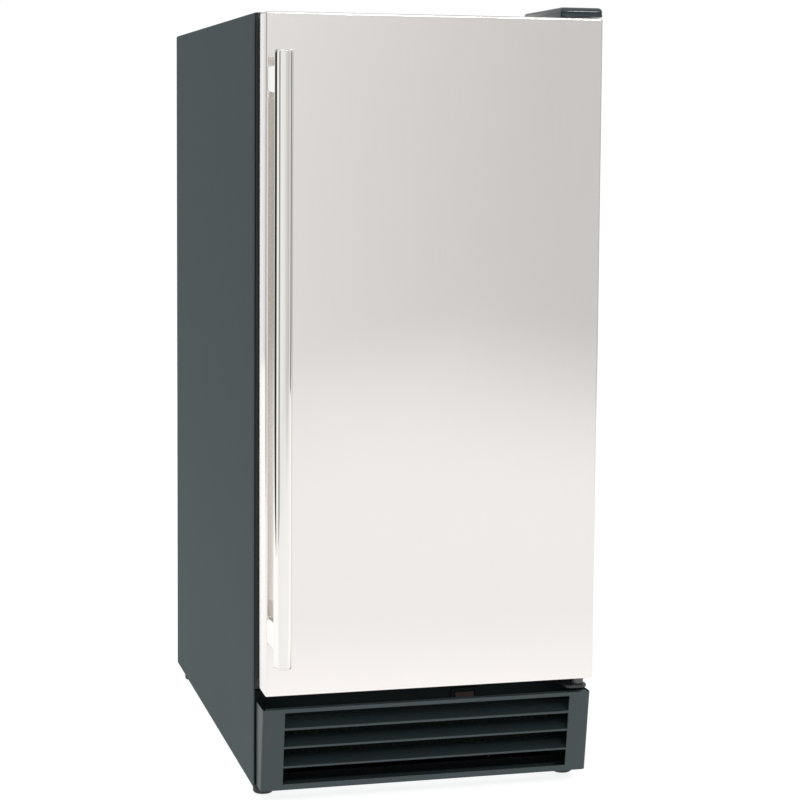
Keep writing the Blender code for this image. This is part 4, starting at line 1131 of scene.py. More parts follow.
@dataclass
class Handle:
    """The full-height bar and its two posts."""

    bar: Extent = box_of("handle_bar")
    posts: tuple[str, str] = ("handle_post_upper", "handle_post_lower")
    cap: float = 0.0022

    def build(self) -> None:
        """Makes the bar with its end caps, and the posts."""
        centre, radius = self.bar.middle, self.bar.size[0] / 2
        end = [
            [0.0001, 0.0], [radius - 0.0018, 0.0], [radius - 0.0008, 0.0002], [radius - 0.0002, 0.0007],
            [radius, 0.0013],
        ]
        rise = self.cap + np.array([-0.0004, -0.0002, 0.0003, 0.0005])
        seam = np.column_stack([radius - np.array([0, 0.0009, 0.0009, 0]), rise])
        half = chain(end, seam) * [1, -1] + [0, self.bar.size[2] / 2]
        profile = chain(half, half[::-1] * [1, -1])
        Skin().solid(turned(profile, tuple(centre), sides=72)).piece(
            "handle_tube", CHROME, "door", "handle_bar",
        )
        for node in self.posts:
            self._post(node, Extent.of(node))

    def _post(self, node: str, foot: Extent) -> None:
        """A flat-sided post that flares towards the bar.

        It is a stack of rounded rectangles. Each end grows with a power of the distance from the door,
        and the end away from the bar's middle keeps nearly straight.
        """
        share = np.linspace(0, 1, 19)
        depth = foot.high[1] + 0.0002 + share * (self.bar.middle[1] - foot.high[1])
        x, z = foot.middle[0], foot.middle[2]
        flare, straight = 0.0138 + 0.0042 * share**1.5, 0.0140 - 0.0010 * share
        flare[0] -= 0.0006
        straight[0] -= 0.0006
        below, above = (flare, straight) if z > self.bar.middle[2] else (straight, flare)
        wide = 0.0076 - 0.0004 * np.sin(math.pi * share)
        limits = [x - wide, x + wide, z - below, z + above, np.full(19, 0.0024), depth]
        rows = lofted(np.column_stack(limits), Axis.Y, 5)
        Skin().solid(rows).piece(node.replace("handle", "chrome"), CHROME, "door", node)


@dataclass
class ToeGrille:
    """The louvred grille under the door: a leaning face, deep returns, and sloping blades."""

    whole: Extent = box_of("toe_grille")
    bottom_front: float = -0.2540
    wall: float = 0.0025
    openings: tuple[Pair, ...] = (
        (0.0210, 0.0395), (0.0417, 0.0615), (0.0639, 0.0823), (0.0849, 0.1020),
    )
    opening_half: float = 0.1586
    lip: float = 0.0085
    bend: float = 0.0034

    def build(self) -> None:
        """Makes the grille's shell, its blades and the filter behind them."""
        self._shell()
        self._blades()
        self._filter()

    def _front(self, height: Array) -> Array:
        """How far forward the face is at each height: a straight lean from bottom to top."""
        share = (height - self.whole.low[2]) / self.whole.size[2]
        return self.bottom_front + share * (self.whole.low[1] - self.bottom_front)

    def _plan(self, drawn: float) -> Array:
        """The shell seen from above as (x, depth behind the face), drawn in by a wall."""
        half, deep = self.whole.high[0] - drawn, 1.0
        corners = np.array([[-half, deep], [-half, drawn], [half, drawn], [half, deep]])
        line = fillet(corners, max(self.bend - drawn, 0.0006), 4, closed=False)
        middle = np.array([[-self.opening_half, drawn], [self.opening_half, drawn]])
        return chain(line[: len(line) // 2], middle, line[len(line) // 2 :])

    def _layer(self, drawn: float) -> Array:
        """One side of the shell: a row for each level, from the foot's flange to the top's lip."""
        low, high = self.whole.low[2], self.whole.high[2]
        levels = np.array([low + drawn, low + drawn, *np.ravel(self.openings), high - drawn, high - drawn])
        behind = np.zeros(len(levels))
        behind[0], behind[-1] = self.whole.size[1], self.lip
        plan = self._plan(drawn)
        x = np.broadcast_to(plan[:, 0], (len(levels), len(plan)))
        depth = np.maximum(plan[None, :, 1], behind[:, None])
        y = np.minimum(self._front(levels)[:, None] + depth, self.whole.high[1])
        return np.stack([x, y, np.broadcast_to(levels[:, None], x.shape)], axis=-1)

    def _shell(self) -> None:
        """A sheet folded round the corners, with its four openings left out."""
        outer, inner = self._layer(0.0), self._layer(self.wall)
        solid = np.ones((outer.shape[0] - 1, outer.shape[1] - 1), bool)
        middle = outer.shape[1] // 2 - 1
        solid[2:-2:2, middle] = False
        corners = np.ones(outer.shape[1] - 1, bool)
        corners[5:-5] = False
        solid[0, corners] = solid[-1, corners] = False
        shell = Skin().sheet(outer, inner, solid).piece(
            "grille_shell", GRILLE, "cabinet", "toe_grille", sharp=30,
        )
        soften(shell, 0.0007, 3)

    def _blades(self) -> None:
        """Three blades, each a rounded slat that climbs to the back behind its bar."""
        blades = Skin()
        thick, depth, rise = 0.0022, 0.0190, 0.0085
        for top, _ in self.openings[1:]:
            nose = float(self._front(np.array(top))) + 0.0012
            corners = [
                [nose, top - thick + 0.0004], [nose + depth, top - thick + rise],
                [nose + depth, top + rise], [nose, top - 0.0002],
            ]
            outline = fillet(np.array(corners), 0.0007, 3)
            blades.solid(
                prism(outline, Axis.X, -self.whole.high[0] + 0.0020, self.whole.high[0] - 0.0020, 0.0003)
            )
        # The blades take the darker copy of the grille plastic, which paints their shade inside the slots.
        blades.piece("grille_blades", BLADE_SHADE, "cabinet")

    def _filter(self) -> None:
        """A pleated air filter behind the rail, near-black partly as its own colour and partly as painted
        shade for the grille's slots: its depth is a triangle wave across the width.
        """
        x, z = np.meshgrid(np.linspace(-0.156, 0.156, 157), np.linspace(0.0360, 0.0880, 5))
        wave = 0.0060 * np.abs((x / 0.0080) % 1 - 0.5)
        sheet = np.stack([x, -0.2236 + wave, z], axis=-1)
        Skin().sheet(sheet, sheet + [0, 0.0012, 0]).piece("air_filter", MESH, "cabinet", sharp=20)


@dataclass
class Feet:
    """The four levelling legs, each on its own body."""

    corners: tuple[str, ...] = ("front_left", "front_right", "rear_left", "rear_right")

    def build(self) -> None:
        """Makes each leg: a ribbed pad, a hexagon and a threaded stud.

        The pad's radius ripples with the cosine of sixteen times the angle. The stud's radius steps
        between crest and root from one row to the next.
        """
        for corner in self.corners:
            leg = Extent.of(f"leg_{corner}")
            x, y, radius = leg.middle[0], leg.middle[1], leg.size[0] / 2
            pad = [
                [0.0001, 0], [radius - 0.0016, 0], [radius - 0.0006, 0.0006], [radius, 0.0016],
                [radius, 0.0062], [radius - 0.0016, 0.0080], [0.0042, 0.0084], [0.0001, 0.0084],
            ]
            rows = turned(np.array(pad), (0, 0, 0), sides=96)
            ripple = 1 - 0.05 * (0.5 + 0.5 * np.cos(16 * np.arange(96) * 2 * math.pi / 96))
            rows[3:5, :, :2] *= ripple[:, None]
            skin = Skin().solid(rows + np.array([x, y, 0]))
            skin.solid(hex_nut((x, y, 0), Axis.Z, 0.0130, 0.0080, 0.0112))
            crest = np.arange(0.0108, leg.high[2] - 0.0012, 0.0006)
            thread = np.column_stack([0.0040 - 0.0005 * (np.arange(len(crest)) % 2), crest])
            thread = chain([[0.0001, 0.0106]], thread, [[0.0030, leg.high[2]], [0.0001, leg.high[2]]])
            skin.solid(turned(thread, (x, y, 0), sides=24))
            skin.piece(f"foot_{corner}", FOOT, f"foot_{corner}", f"leg_{corner}", sharp=40)


@dataclass
class IceUnit:
    """The freezing plate with its coil, the distributor, trough, pump and curtain."""

    plate: Extent = box_of("evaporator_plate")
    trough: Extent = box_of("water_trough")
    header: Extent = box_of("water_distributor")
    curtain: Extent = box_of("water_curtain")
    motor: Extent = box_of("pump_motor")
    columns: int = 8
    rows: int = 5
    pitch: float = 0.0295
    cell: float = 0.0255
    depth: float = 0.0130
    pump: Pair = (0.0900, 0.2450)

    def build(self) -> None:
        """Makes every piece of the ice-making unit."""
        self._plate()
        self._coil()
        self._header()
        self._trough()
        self._pump()
        self._hose()
        self._curtain()

    def _lines(self, count: int, low: float, high: float) -> tuple[Array, Array]:
        """Grid lines across the cells of one direction, and how deep the pocket is on each.

        Each cell has lines at its mouth, down its drafted wall and on its floor, where the depth
        share climbs from 0 to 1 with a rounded foot.
        """
        centre = (np.arange(count) - (count - 1) / 2) * self.pitch + (low + high) / 2
        half = self.cell / 2
        offset = np.array([half + 0.0006, half, half - 0.0004, half - 0.0010, half - 0.0020, half - 0.0040])
        share = np.array([0, 0.05, 0.55, 0.85, 0.97, 1.0])
        offset, share = chain(-offset, offset[::-1]), chain(share, share[::-1])
        lines = (centre[:, None] + offset).ravel()
        return chain([low], lines, [high]), chain([0], np.tile(share, count), [0])

    def _plate(self) -> None:
        """A slab whose front is pressed into cells: the depth times the product of two shares."""
        x, share_x = self._lines(self.columns, self.plate.low[0], self.plate.high[0])
        z, share_z = self._lines(self.rows, self.plate.low[2], self.plate.high[2])
        grid_x, grid_z = np.meshgrid(x, z)
        sunk = self.depth * np.minimum(share_x[None, :], share_z[:, None])
        front = np.stack([grid_x, self.plate.low[1] + sunk, grid_z], axis=-1)
        back = np.stack([grid_x, np.full_like(grid_x, self.plate.high[1]), grid_z], axis=-1)
        Skin().sheet(front, back).piece("freezing_plate", NICKEL, "cabinet", "evaporator_plate", sharp=24)

    def _coil(self) -> None:
        """One tube that runs to and fro behind the plate, its turns half circles."""
        runs, reach = 6, 0.1050
        level = np.linspace(self.plate.low[2] + 0.0150, self.plate.high[2] - 0.0150, runs)
        side = np.where(np.arange(runs) % 2, 1, -1) * reach
        corners = np.stack(
            [
                np.stack([side, -side], 1).ravel(), np.full(2 * runs, self.plate.high[1] + 0.0055),
                np.repeat(level, 2),
            ],
            axis=1,
        )
        path = fillet(corners, 0.0122, 8, closed=False)
        Skin().solid(tube(path, 0.0046, 16)).piece("freezing_coil", COPPER, "cabinet", "evaporator_coil")

    def _header(self) -> None:
        """A tube across the plate's top, ringed by shallow grooves, over a row of short spouts."""
        half, radius = self.header.size[0] / 2, self.header.size[2] / 2
        along = np.linspace(-half, half, 141)
        groove = 0.0006 * (np.abs(np.abs(along[:, None]) - np.array([0.112, 0.104, 0.0])).min(1) < 0.0012)
        body = np.column_stack([radius - groove, along])
        body = chain(
            [[0.0001, -half], [radius - 0.001, -half]], body[1:-1],
            [[radius - 0.001, half], [0.0001, half]],
        )
        centre = tuple(self.header.middle)
        skin = Skin().solid(turned(body, centre, Axis.X, 32))
        spout = np.array(
            [[0.0001, -0.0105], [0.0014, -0.0105], [0.0016, -0.0100], [0.0024, -0.0055], [0.0001, -0.0050]]
        )
        for x in np.linspace(-0.103, 0.103, self.columns):
            skin.solid(turned(spout, (x, centre[1], centre[2]), sides=12))
        skin.piece("water_header", CLEAR, "cabinet", "water_distributor")
        elbow = fillet(
            np.array([[0.100, 0.1840, 0.7600], [0.100, 0.1760, 0.7600], [0.100, 0.1760, 0.7415]]), 0.0050,
            5, closed=False,
        )
        Skin().solid(tube(elbow, 0.0030)).piece("fill_spout", HOSE, "cabinet")

    def _trough(self) -> None:
        """An open tray: rounded rectangles up the outside, over a rolled rim, and down the inside."""
        limits, low, high = self.trough.across(Axis.Z), self.trough.low[2], self.trough.high[2]
        outer = [
            [0.0030, low], [0.0010, low + 0.0009], [0.0002, low + 0.0030], [0.0002, high - 0.0036],
            [0, high - 0.0030], [0, high - 0.0006], [0.0004, high],
        ]
        inner = [
            [0.0018, high], [0.0022, high - 0.0006], [0.0024, low + 0.0060], [0.0036, low + 0.0032],
            [0.0060, low + 0.0022],
        ]
        rows = lofted(nested(limits, 0.0090, np.array(outer + inner)), Axis.Z, 7)
        Skin().solid(rows).piece("water_tray", WHITE, "cabinet", "water_trough")

    def _pump(self) -> None:
        """The pump's stem and cup, its motor with cooling grooves, and the vaned rotor."""
        x, y = self.pump
        floor = self.trough.low[2] + 0.0020
        stem = np.array([
            [0.0031, 0.5590], [0.0060, 0.5590], [0.0062, 0.5570], [0.0056, 0.5550],
            [0.0056, floor + 0.0200], [0.0070, floor + 0.0172], [0.0165, floor + 0.0166],
            [0.0178, floor + 0.0155], [0.0180, floor + 0.0030], [0.0176, floor + 0.0016],
            [0.0154, floor + 0.0016], [0.0150, floor + 0.0022], [0.0150, floor + 0.0138],
            [0.0031, floor + 0.0140],
        ])
        Skin().hoop(turned(stem, (x, y, 0))).piece("pump_stem", BLACK, "cabinet", "pump_housing")
        base, top = self.motor.low[2], self.motor.high[2]
        rings = np.linspace(base + 0.010, top - 0.014, 33)
        ribs = np.column_stack([0.0197 - 0.0009 * (np.arange(33) // 2 % 2), rings])
        shell = chain(
            [
                [0.0001, base], [0.0196, base], [0.0200, base + 0.0006], [0.0200, base + 0.0060],
                [0.0197, base + 0.0066],
            ],
            ribs,
            [
                [0.0197, top - 0.0060], [0.0190, top - 0.0030], [0.0170, top - 0.0008], [0.0140, top],
                [0.0001, top],
            ],
        )
        skin = Skin().solid(turned(shell, (x, y, 0), sides=56))
        skin.piece("pump_drive", BLACK, "cabinet", "pump_motor")
        hub = np.array([
            [0.0001, 0.5560], [0.0017, 0.5560], [0.0018, 0.5556], [0.0018, floor + 0.0120],
            [0.0042, floor + 0.0112], [0.0050, floor + 0.0104], [0.0050, floor + 0.0032],
            [0.0001, floor + 0.0030],
        ])
        rotor = Skin().solid(turned(hub, (x, y, 0), sides=32))
        angle = np.linspace(0, 1, 9)
        for vane in range(6):
            turn = vane * math.pi / 3 + 0.9 * angle**1.4
            reach = 0.0044 + 0.0081 * angle
            line = np.stack([x + reach * np.cos(turn), y + reach * np.sin(turn)], axis=1)
            aside = unit(np.gradient(line, axis=0))[:, ::-1] * [-0.0006, 0.0006]
            outline = chain(line + aside, (line - aside)[::-1])
            rotor.solid(prism(outline, Axis.Z, floor + 0.0035, floor + 0.0105, 0.0002))
        rotor.piece("pump_rotor", BLACK, "impeller", "pump_impeller")

    def _hose(self) -> None:
        """The hose from the pump up to the header, with a worm clamp near each end."""
        x, y = self.pump
        low, high = self.trough.low[2] + 0.0100, self.header.middle[2]
        outlet = self.header.high[1] + 0.0003
        corners = [[x - 0.0180, y, low], [0.0560, y, low], [0.0560, y, high], [0.0560, outlet, high]]
        path = fillet(np.array(corners), 0.0180, 12, closed=False)
        Skin().solid(tube(path, 0.0045, 20)).piece("riser_hose", HOSE, "cabinet", "pump_hose")
        clamps = Skin()
        band = np.array(
            [[0.0046, -0.0035], [0.0053, -0.0034], [0.0054, 0.0], [0.0053, 0.0034], [0.0046, 0.0035]]
        )
        clamps.hoop(turned(band, (0.0560, outlet + 0.0080, high), Axis.Y, 32))
        clamps.hoop(turned(band, (0.0560, y, low + 0.0400), Axis.Z, 32))
        clamps.piece("hose_clamps", BOLT, "cabinet")

    def _curtain(self) -> None:
        """A moulded sheet with upright ribs and a curled foot, hung on a pin at each end.

        The front stands out by a rib's height times a narrow plateau that repeats across the sheet.
        The foot curls forward by the square of the distance below the curl's start.
        """
        half, low, high = 0.1187, self.curtain.low[2], self.curtain.high[2]
        across = np.linspace(-half, half, 191)
        up = chain(
            np.linspace(low, low + 0.016, 9)[:-1], np.linspace(low + 0.016, high - 0.006, 8)[:-1],
            np.linspace(high - 0.006, high, 5),
        )
        x, z = np.meshgrid(across, up)
        phase = np.abs((x / 0.0198 + 0.5) % 1 - 0.5) * 0.0198
        rib = 0.0011 * np.clip((0.0018 - phase) / 0.0008, 0, 1) * swell(z, low + 0.004, high - 0.004, 0.006)
        curl = 0.0034 * (np.clip(low + 0.016 - z, 0, 0.016) / 0.016) ** 2
        y = self.curtain.middle[1] - curl
        skin = Skin().sheet(np.stack([x, y - 0.0008 - rib, z], -1), np.stack([x, y + 0.0008, z], -1))
        pin = np.array([
            [0.0001, 0], [0.0016, 0], [0.0020, 0.0005], [0.0020, 0.0070], [0.0034, 0.0075],
            [0.0034, 0.0088], [0.0001, 0.0088],
        ])
        for side in (-1, 1):
            rows = turned(
                pin * [1, -side],
                (side * self.curtain.high[0], self.curtain.middle[1], self.curtain.high[2] - 0.0050),
                Axis.X, 24,
            )
            skin.solid(rows)
        skin.piece("ice_curtain", CLEAR, "curtain", "water_curtain", sharp=25)


@dataclass
class BinFittings:
    """The level sensor, the drain strainer, the scoop's ring and the scoop."""

    sensor: Extent = box_of("ice_level_sensor")
    drain: Extent = box_of("bin_drain_strainer")
    ring: Extent = box_of("scoop_holder")
    scoop: Extent = box_of("ice_scoop")
    centre: Pair = (-0.1200, -0.1150)
    half: Pair = (0.0150, 0.0370)

    def build(self) -> None:
        """Makes every fitting."""
        self._sensor()
        self._strainer()
        self._holder()
        self._scoop()

    def _sensor(self) -> None:
        """A probe tube with a domed tip, held by two clips."""
        x, z = self.sensor.middle[0], self.sensor.middle[2]
        depth = chain(
            [self.sensor.high[1]], np.linspace(self.sensor.high[1] - 0.002, self.sensor.low[1] + 0.004, 4),
            self.sensor.low[1] + 0.004 * (1 - np.sin(np.linspace(0, QUARTER, 7)[1:])),
        )
        radius = chain(np.full(5, 0.0039), 0.0039 * np.cos(np.linspace(0, QUARTER, 7)[1:]) + 0.00005)
        profile = np.column_stack([radius, depth])
        Skin().solid(turned(profile, (x, 0, z), Axis.Y, 24)).piece(
            "level_probe", COPPER, "cabinet", "ice_level_sensor",
        )
        clip = np.array(
            [[0.0040, -0.0050], [0.0062, -0.0046], [0.0064, 0.0], [0.0062, 0.0046], [0.0040, 0.0050]]
        )
        clips = Skin()
        for y in (0.070, 0.200):
            clips.hoop(turned(clip, (x, y, z), Axis.Y, 32))
            stem = box_limits(np.array([y, z]), np.array([0.0046, 0.0026]))
            rows = lofted(np.array([[*stem, 0.0010, x + 0.0050], [*stem, 0.0010, 0.1424]]), Axis.X, 4)
            clips.solid(rows)
        clips.piece("probe_clips", WHITE, "cabinet")

    def _strainer(self) -> None:
        """A shallow dome with two rings of slots.

        Over a polar grid the height is the rise times one minus the squared share of the radius. A
        cell is left out where its ring is a slot ring and its place round the circle is in a slot.
        """
        share = np.array([0.03, 0.28, 0.52, 0.60, 0.84, 1.0])
        angle = np.linspace(0, 2 * math.pi, 73)
        centre, radius = self.drain.middle, self.drain.size[0] / 2
        spread = radius * share[:, None]
        x, y = centre[0] + spread * np.cos(angle), centre[1] + spread * np.sin(angle)
        rise = np.broadcast_to(self.drain.size[2] * (1 - share[:, None] ** 2), x.shape)
        solid = np.ones((5, 72), bool)
        solid[1] = solid[3] = np.arange(72) % 6 < 3
        top = np.stack([x, y, self.drain.low[2] + 0.0012 + rise], axis=-1)
        Skin().sheet(top, top - [0, 0, 0.0011], solid).piece(
            "drain_grate", BLACK, "cabinet", "bin_drain_strainer", sharp=40,
        )

    def _holder(self) -> None:
        """A moulded ring, bevelled above and below, with its hole close to the bin's wall."""
        limits, low, high = self.ring.across(Axis.Z), self.ring.low[2], self.ring.high[2]
        hole = box_limits(np.array(self.centre), np.array(self.half) + 0.0013)
        outer = nested(
            limits, 0.0110,
            chain(roll(0, low, 0.0012, 1, 3), roll(0, high, 0.0012, -1, 3)[::-1]),
        )
        inner = nested(
            hole, 0.0100,
            chain(roll(0, high, 0.0012, -1, 3), roll(0, low, 0.0012, 1, 3)[::-1]) * [-1, 1],
        )
        Skin().hoop(
            lofted(chain(outer, inner), Axis.Z, 7)
        ).piece("scoop_ring", WHITE, "cabinet", "scoop_holder")

    def _scoop(self) -> None:
        """A bowl open at its mouth, a collar that rests on the ring, and a waisted grip.

        The bowl's plan is a U. Going down, its open side draws back by the square of the share of
        the depth, which slants the mouth, and the whole plan tapers a little.
        """
        x, y = self.centre
        half_x, half_y = self.half
        collar = self.ring.high[2] + 0.0003
        share = np.linspace(0, 1, 18)[:, None]
        layers = []
        for drawn in (0.0, 0.0020):
            corners = np.array([
                [half_x, drawn - half_y], [drawn - half_x, drawn - half_y],
                [drawn - half_x, half_y - drawn], [half_x, half_y - drawn],
            ])
            plan = fillet(corners, 0.0100 - drawn, 7, closed=False)
            taper = 1 - 0.10 * share**2
            cut = 1 - 0.75 * share**2 * (plan[None, :, 0] > 0)
            layers.append(
                np.stack(
                    np.broadcast_arrays(
                        x + plan[:, 0] * cut, y + plan[:, 1] * taper,
                        collar - (collar - self.scoop.low[2]) * share,
                    ),
                    axis=-1,
                )
            )
        skin = Skin().sheet(layers[0], layers[1])
        plate = nested(
            box_limits(np.array([x, y]), np.array([half_x, half_y]) + 0.0038), 0.0120,
            chain(roll(0, collar, 0.0012, 1, 3), roll(0, collar + 0.0040, 0.0012, -1, 3)[::-1]),
        )
        skin.solid(lofted(plate, Axis.Z, 7))
        height = chain(np.linspace(0, 0.088, 16), 0.088 + 0.0078 * np.sin(np.linspace(0, QUARTER, 7)[1:]))
        pinch = np.sin(math.pi * np.clip(height / 0.088, 0, 1))
        flare = np.clip(1 - height / 0.010, 0, 1) ** 2
        waist = 1 - 0.18 * pinch + 0.25 * flare
        dome = chain(np.ones(16), np.cos(np.linspace(0, QUARTER, 7)[1:]) * 0.92 + 0.08)
        wide, deep = 0.0068 * waist * dome, 0.0128 * waist * dome
        rows = np.column_stack(
            [x - wide, x + wide, y - deep, y + deep, 0.0064 * waist * dome, collar + 0.0036 + height]
        )
        skin.solid(lofted(rows, Axis.Z, 6))
        skin.piece("scoop", SCOOP, "scoop", "ice_scoop", sharp=40)


@dataclass
class Machinery:
    """The condenser, fan, compressor and pipes in the base, with the back ports, control box and switch."""

    coil: Extent = box_of("condenser")
    shroud: Extent = box_of("fan_shroud")
    drive: Extent = box_of("fan_motor")
    shell: Extent = box_of("compressor")
    drier: Extent = box_of("filter_drier")
    box: Extent = box_of("control_box")
    fan_x: float = -0.0350
    fan_y: float = -0.1390
    fan_z: float = 0.0730

    def build(self) -> None:
        """Makes every piece of the machinery."""
        self._condenser()
        self._fan()
        self._compressor()
        self._pipes()
        self._services()
        self._switch()

    def _condenser(self) -> None:
        """A pack of thin fins on a serpentine tube, between two end plates.

        Every fin is the same eight corners, moved along by the fin's number times the pitch.
        """
        low, high = self.coil.low, self.coil.high
        fins = Skin()
        places = np.arange(low[0] + 0.0060, high[0] - 0.0060, 0.0022)
        for fin_x in places:
            limits = [low[1] + 0.002, high[1] - 0.002, low[2] + 0.002, high[2] - 0.002]
            fins.grid(
                lofted(
                    np.array([[*limits, 0.0010, fin_x], [*limits, 0.0010, fin_x + 0.00022]]), Axis.X, 1,
                ),
                ends=True,
            )
        for side in (low[0] + 0.0042, high[0] - 0.0054):
            plate = fillet(
                np.array([[low[1], low[2]], [high[1], low[2]], [high[1], high[2]], [low[1], high[2]]]),
                0.002, 3,
            )
            fins.solid(prism(plate, Axis.X, side, side + 0.0012, 0.0003))
        fins.piece("condenser_fins", FINS, "cabinet", "condenser", sharp=30)
        passes, reach = 5, (high[0] - low[0]) / 2 - 0.0040
        level = np.linspace(low[2] + 0.012, high[2] - 0.012, passes)
        side = np.where(np.arange(passes) % 2, 1, -1) * reach
        middle = (low[0] + high[0]) / 2
        runs = Skin()
        for y in (low[1] + 0.013, high[1] - 0.013):
            corners = np.stack(
                [middle + np.stack([side, -side], 1).ravel(), np.full(2 * passes, y), np.repeat(level, 2)],
                axis=1,
            )
            runs.solid(tube(fillet(corners, 0.0095, 6, closed=False), 0.0040, 10))
        runs.piece("condenser_tube", COPPER, "cabinet")

    def _fan(self) -> None:
        """The shroud's mouth ring, the motor with its struts, and the twisted blades.

        A blade's chord turns from 62 to 30 degrees off the fan's plane from root to tip, its width
        follows a sine, and its middle bows back by a small share of the chord, as a parabola.
        """
        x, y, z = self.fan_x, self.fan_y, self.fan_z
        ring = np.array([
            [0.0490, -0.0182], [0.0530, -0.0184], [0.0560, -0.0172], [0.0545, -0.0160],
            [0.0508, -0.0164], [0.0494, -0.0120], [0.0482, -0.0118], [0.0482, -0.0170],
        ])
        Skin().hoop(
            turned(fillet(ring, 0.0005, 2), (x, y, z), Axis.Y, 64)
        ).piece("shroud_ring", BLACK, "cabinet")
        hub = np.array([
            [0.0001, -0.0090], [0.0070, -0.0088], [0.0110, -0.0076], [0.0128, -0.0050],
            [0.0130, -0.0020], [0.0130, 0.0156], [0.0124, 0.0160], [0.0001, 0.0160],
        ])
        fan = Skin().solid(turned(hub, (x, y, z), Axis.Y, 40))
        share = np.linspace(0, 1, 12)[:, None]
        chord = np.linspace(-1, 1, 9)[None, :]
        reach = 0.0118 + 0.0338 * share
        width = 0.0120 + 0.0065 * np.sin(math.pi * (0.15 + 0.75 * share))
        lean = np.radians(62 - 32 * share)
        sweep = chord * width * np.cos(lean) * (1 - 0.15 * share**6)
        for blade in range(4):
            turn = blade * QUARTER + sweep / reach
            depth = -0.80 * chord * width * np.sin(lean) * 0.62 - 0.0022 * (1 - chord**2) + 0.0030
            points = np.stack(
                np.broadcast_arrays(x + reach * np.cos(turn), y + depth, z + reach * np.sin(turn)), axis=-1,
            )
            fan.sheet(points, points + [0, 0.0011, 0])
        fan.piece("fan_rotor", BLACK, "fan", "fan_blades", sharp=40)
        near, far = self.drive.low[1], self.drive.high[1]
        can = [
            [0.0001, near], [0.0050, near], [0.0060, near + 0.003], [0.0220, near + 0.0035],
            [0.0236, near + 0.0050], [0.0240, near + 0.0070], [0.0240, far - 0.0080],
            [0.0228, far - 0.0050], [0.0120, far - 0.0020], [0.0100, far], [0.0001, far],
        ]
        motor = Skin().solid(turned(np.array(can), (x, 0, z), Axis.Y, 48))
        floor = self.drive.low[2]
        web = [
            [
                x - 0.0100, x + 0.0100, near + 0.0100, far - 0.0100, 0.0020, height,
            ] for height in (floor, floor + 0.0008, z - 0.0160)
        ]
        motor.solid(lofted(np.array(web), Axis.Z, 3))
        motor.piece("fan_drive", ZINC, "cabinet", "fan_motor")

    def _compressor(self) -> None:
        """A welded can: two domes that meet in a rolled seam, over a square foot plate."""
        low, high = self.shell.low[2], self.shell.high[2]
        x, y = self.shell.middle[0], self.shell.middle[1]
        angle = np.linspace(0, QUARTER, 12)
        top = np.column_stack([0.0610 * np.sin(angle), high - 0.0520 * (1 - np.cos(angle))])
        top[0, 0] = 0.0001
        seam = [
            [0.0610, low + 0.0735], [0.0626, low + 0.0720], [0.0632, low + 0.0700], [0.0632, low + 0.0660],
            [0.0626, low + 0.0640], [0.0606, low + 0.0625],
        ]
        bottom = np.column_stack(
            [0.0300 + 0.0296 * np.cos(angle), low + 0.0008 + 0.0300 * (1 - np.sin(angle))]
        )
        skin = Skin().solid(
            turned(chain(top, seam, bottom, [[0.0001, low + 0.0008]]), (x, y, 0), sides=72)
        )
        half = 0.0610
        foot = fillet(
            np.array(
                [[x - half, y - half], [x + half, y - half], [x + half, y + half], [x - half, y + half]]
            ),
            0.0120, 5,
        )
        skin.solid(prism(foot, Axis.Z, low, low + 0.0025, 0.0006))
        skin.piece("compressor_can", ENAMEL, "cabinet", "compressor")
        cover = Extent.of("compressor_terminal_cover")
        rows = nested(
            cover.across(Axis.X), 0.0060,
            chain([[0, cover.low[0]]], roll(0, cover.high[0], 0.0030, -1, 4)[::-1]),
        )
        Skin().solid(lofted(rows, Axis.X, 5)).piece(
            "terminal_box", BLACK, "cabinet", "compressor_terminal_cover",
        )

    def _pipes(self) -> None:
        """Refrigerant, water and drain lines: tubes along filleted routes."""
        x, y = self.shell.middle[0], self.shell.middle[1]
        top = self.shell.high[2] + 0.0005
        ledge = 0.2617
        routes = {
            "hot_line": (
                [
                    (x + 0.030, y - 0.070, 0.080), (x + 0.030, 0.060, 0.080), (-0.120, 0.060, 0.080),
                    (-0.120, -0.110, 0.080), (-0.172, -0.110, 0.080), (-0.172, -0.184, 0.080),
                    (-0.1603, -0.184, 0.080),
                ],
                0.010, 0.0032, COPPER, "discharge_line",
            ),
            "return_line": (
                [(x, y, top), (x, y, top + 0.030), (x, 0.290, top + 0.030), (x, 0.290, ledge)], 0.020,
                0.0048, COPPER, "suction_line",
            ),
            "liquid_line": (
                [
                    (0.0903, -0.184, 0.050), (0.0960, -0.184, 0.050), (0.0960, -0.060, 0.030),
                    (0.035, -0.060, 0.030), (0.035, 0.1145, 0.060),
                ],
                0.009, 0.0028, COPPER, "",
            ),
            "capillary": (
                [
                    (0.035, 0.2255, 0.060), (0.035, 0.250, 0.060), (0.020, 0.270, 0.120),
                    (0.020, 0.270, ledge),
                ],
                0.012, 0.0016, COPPER, "",
            ),
            "drain_hose": (
                [(0, -0.030, 0.1747), (0, -0.030, 0.095), (0.075, 0.070, 0.045), (0.075, 0.2997, 0.045)],
                0.030, 0.0065, HOSE, "drain_tube",
            ),
            "fill_hose": (
                [(0.125, 0.2437, 0.100), (0.125, 0.190, 0.100), (0.125, 0.190, ledge)], 0.020, 0.0032, HOSE,
                "water_supply_tube",
            ),
        }
        for name, (corners, bend, radius, finish, node) in routes.items():
            path = fillet(np.array(corners), bend, 8, closed=False)
            Skin().solid(tube(path, radius)).piece(name, finish, "cabinet", *([node] if node else []))
        near, far = self.drier.low[1], self.drier.high[1]
        can = [
            [0.0029, near], [0.0032, near + 0.006], [0.0105, near + 0.018], [0.0110, near + 0.022],
            [0.0110, far - 0.022], [0.0105, far - 0.018], [0.0032, far - 0.006], [0.0029, far],
        ]
        rows = turned(np.array(can), (self.drier.middle[0], 0, self.drier.middle[2]), Axis.Y, 32)
        Skin().solid(rows).piece("drier", COPPER, "cabinet", "filter_drier", sharp=50)

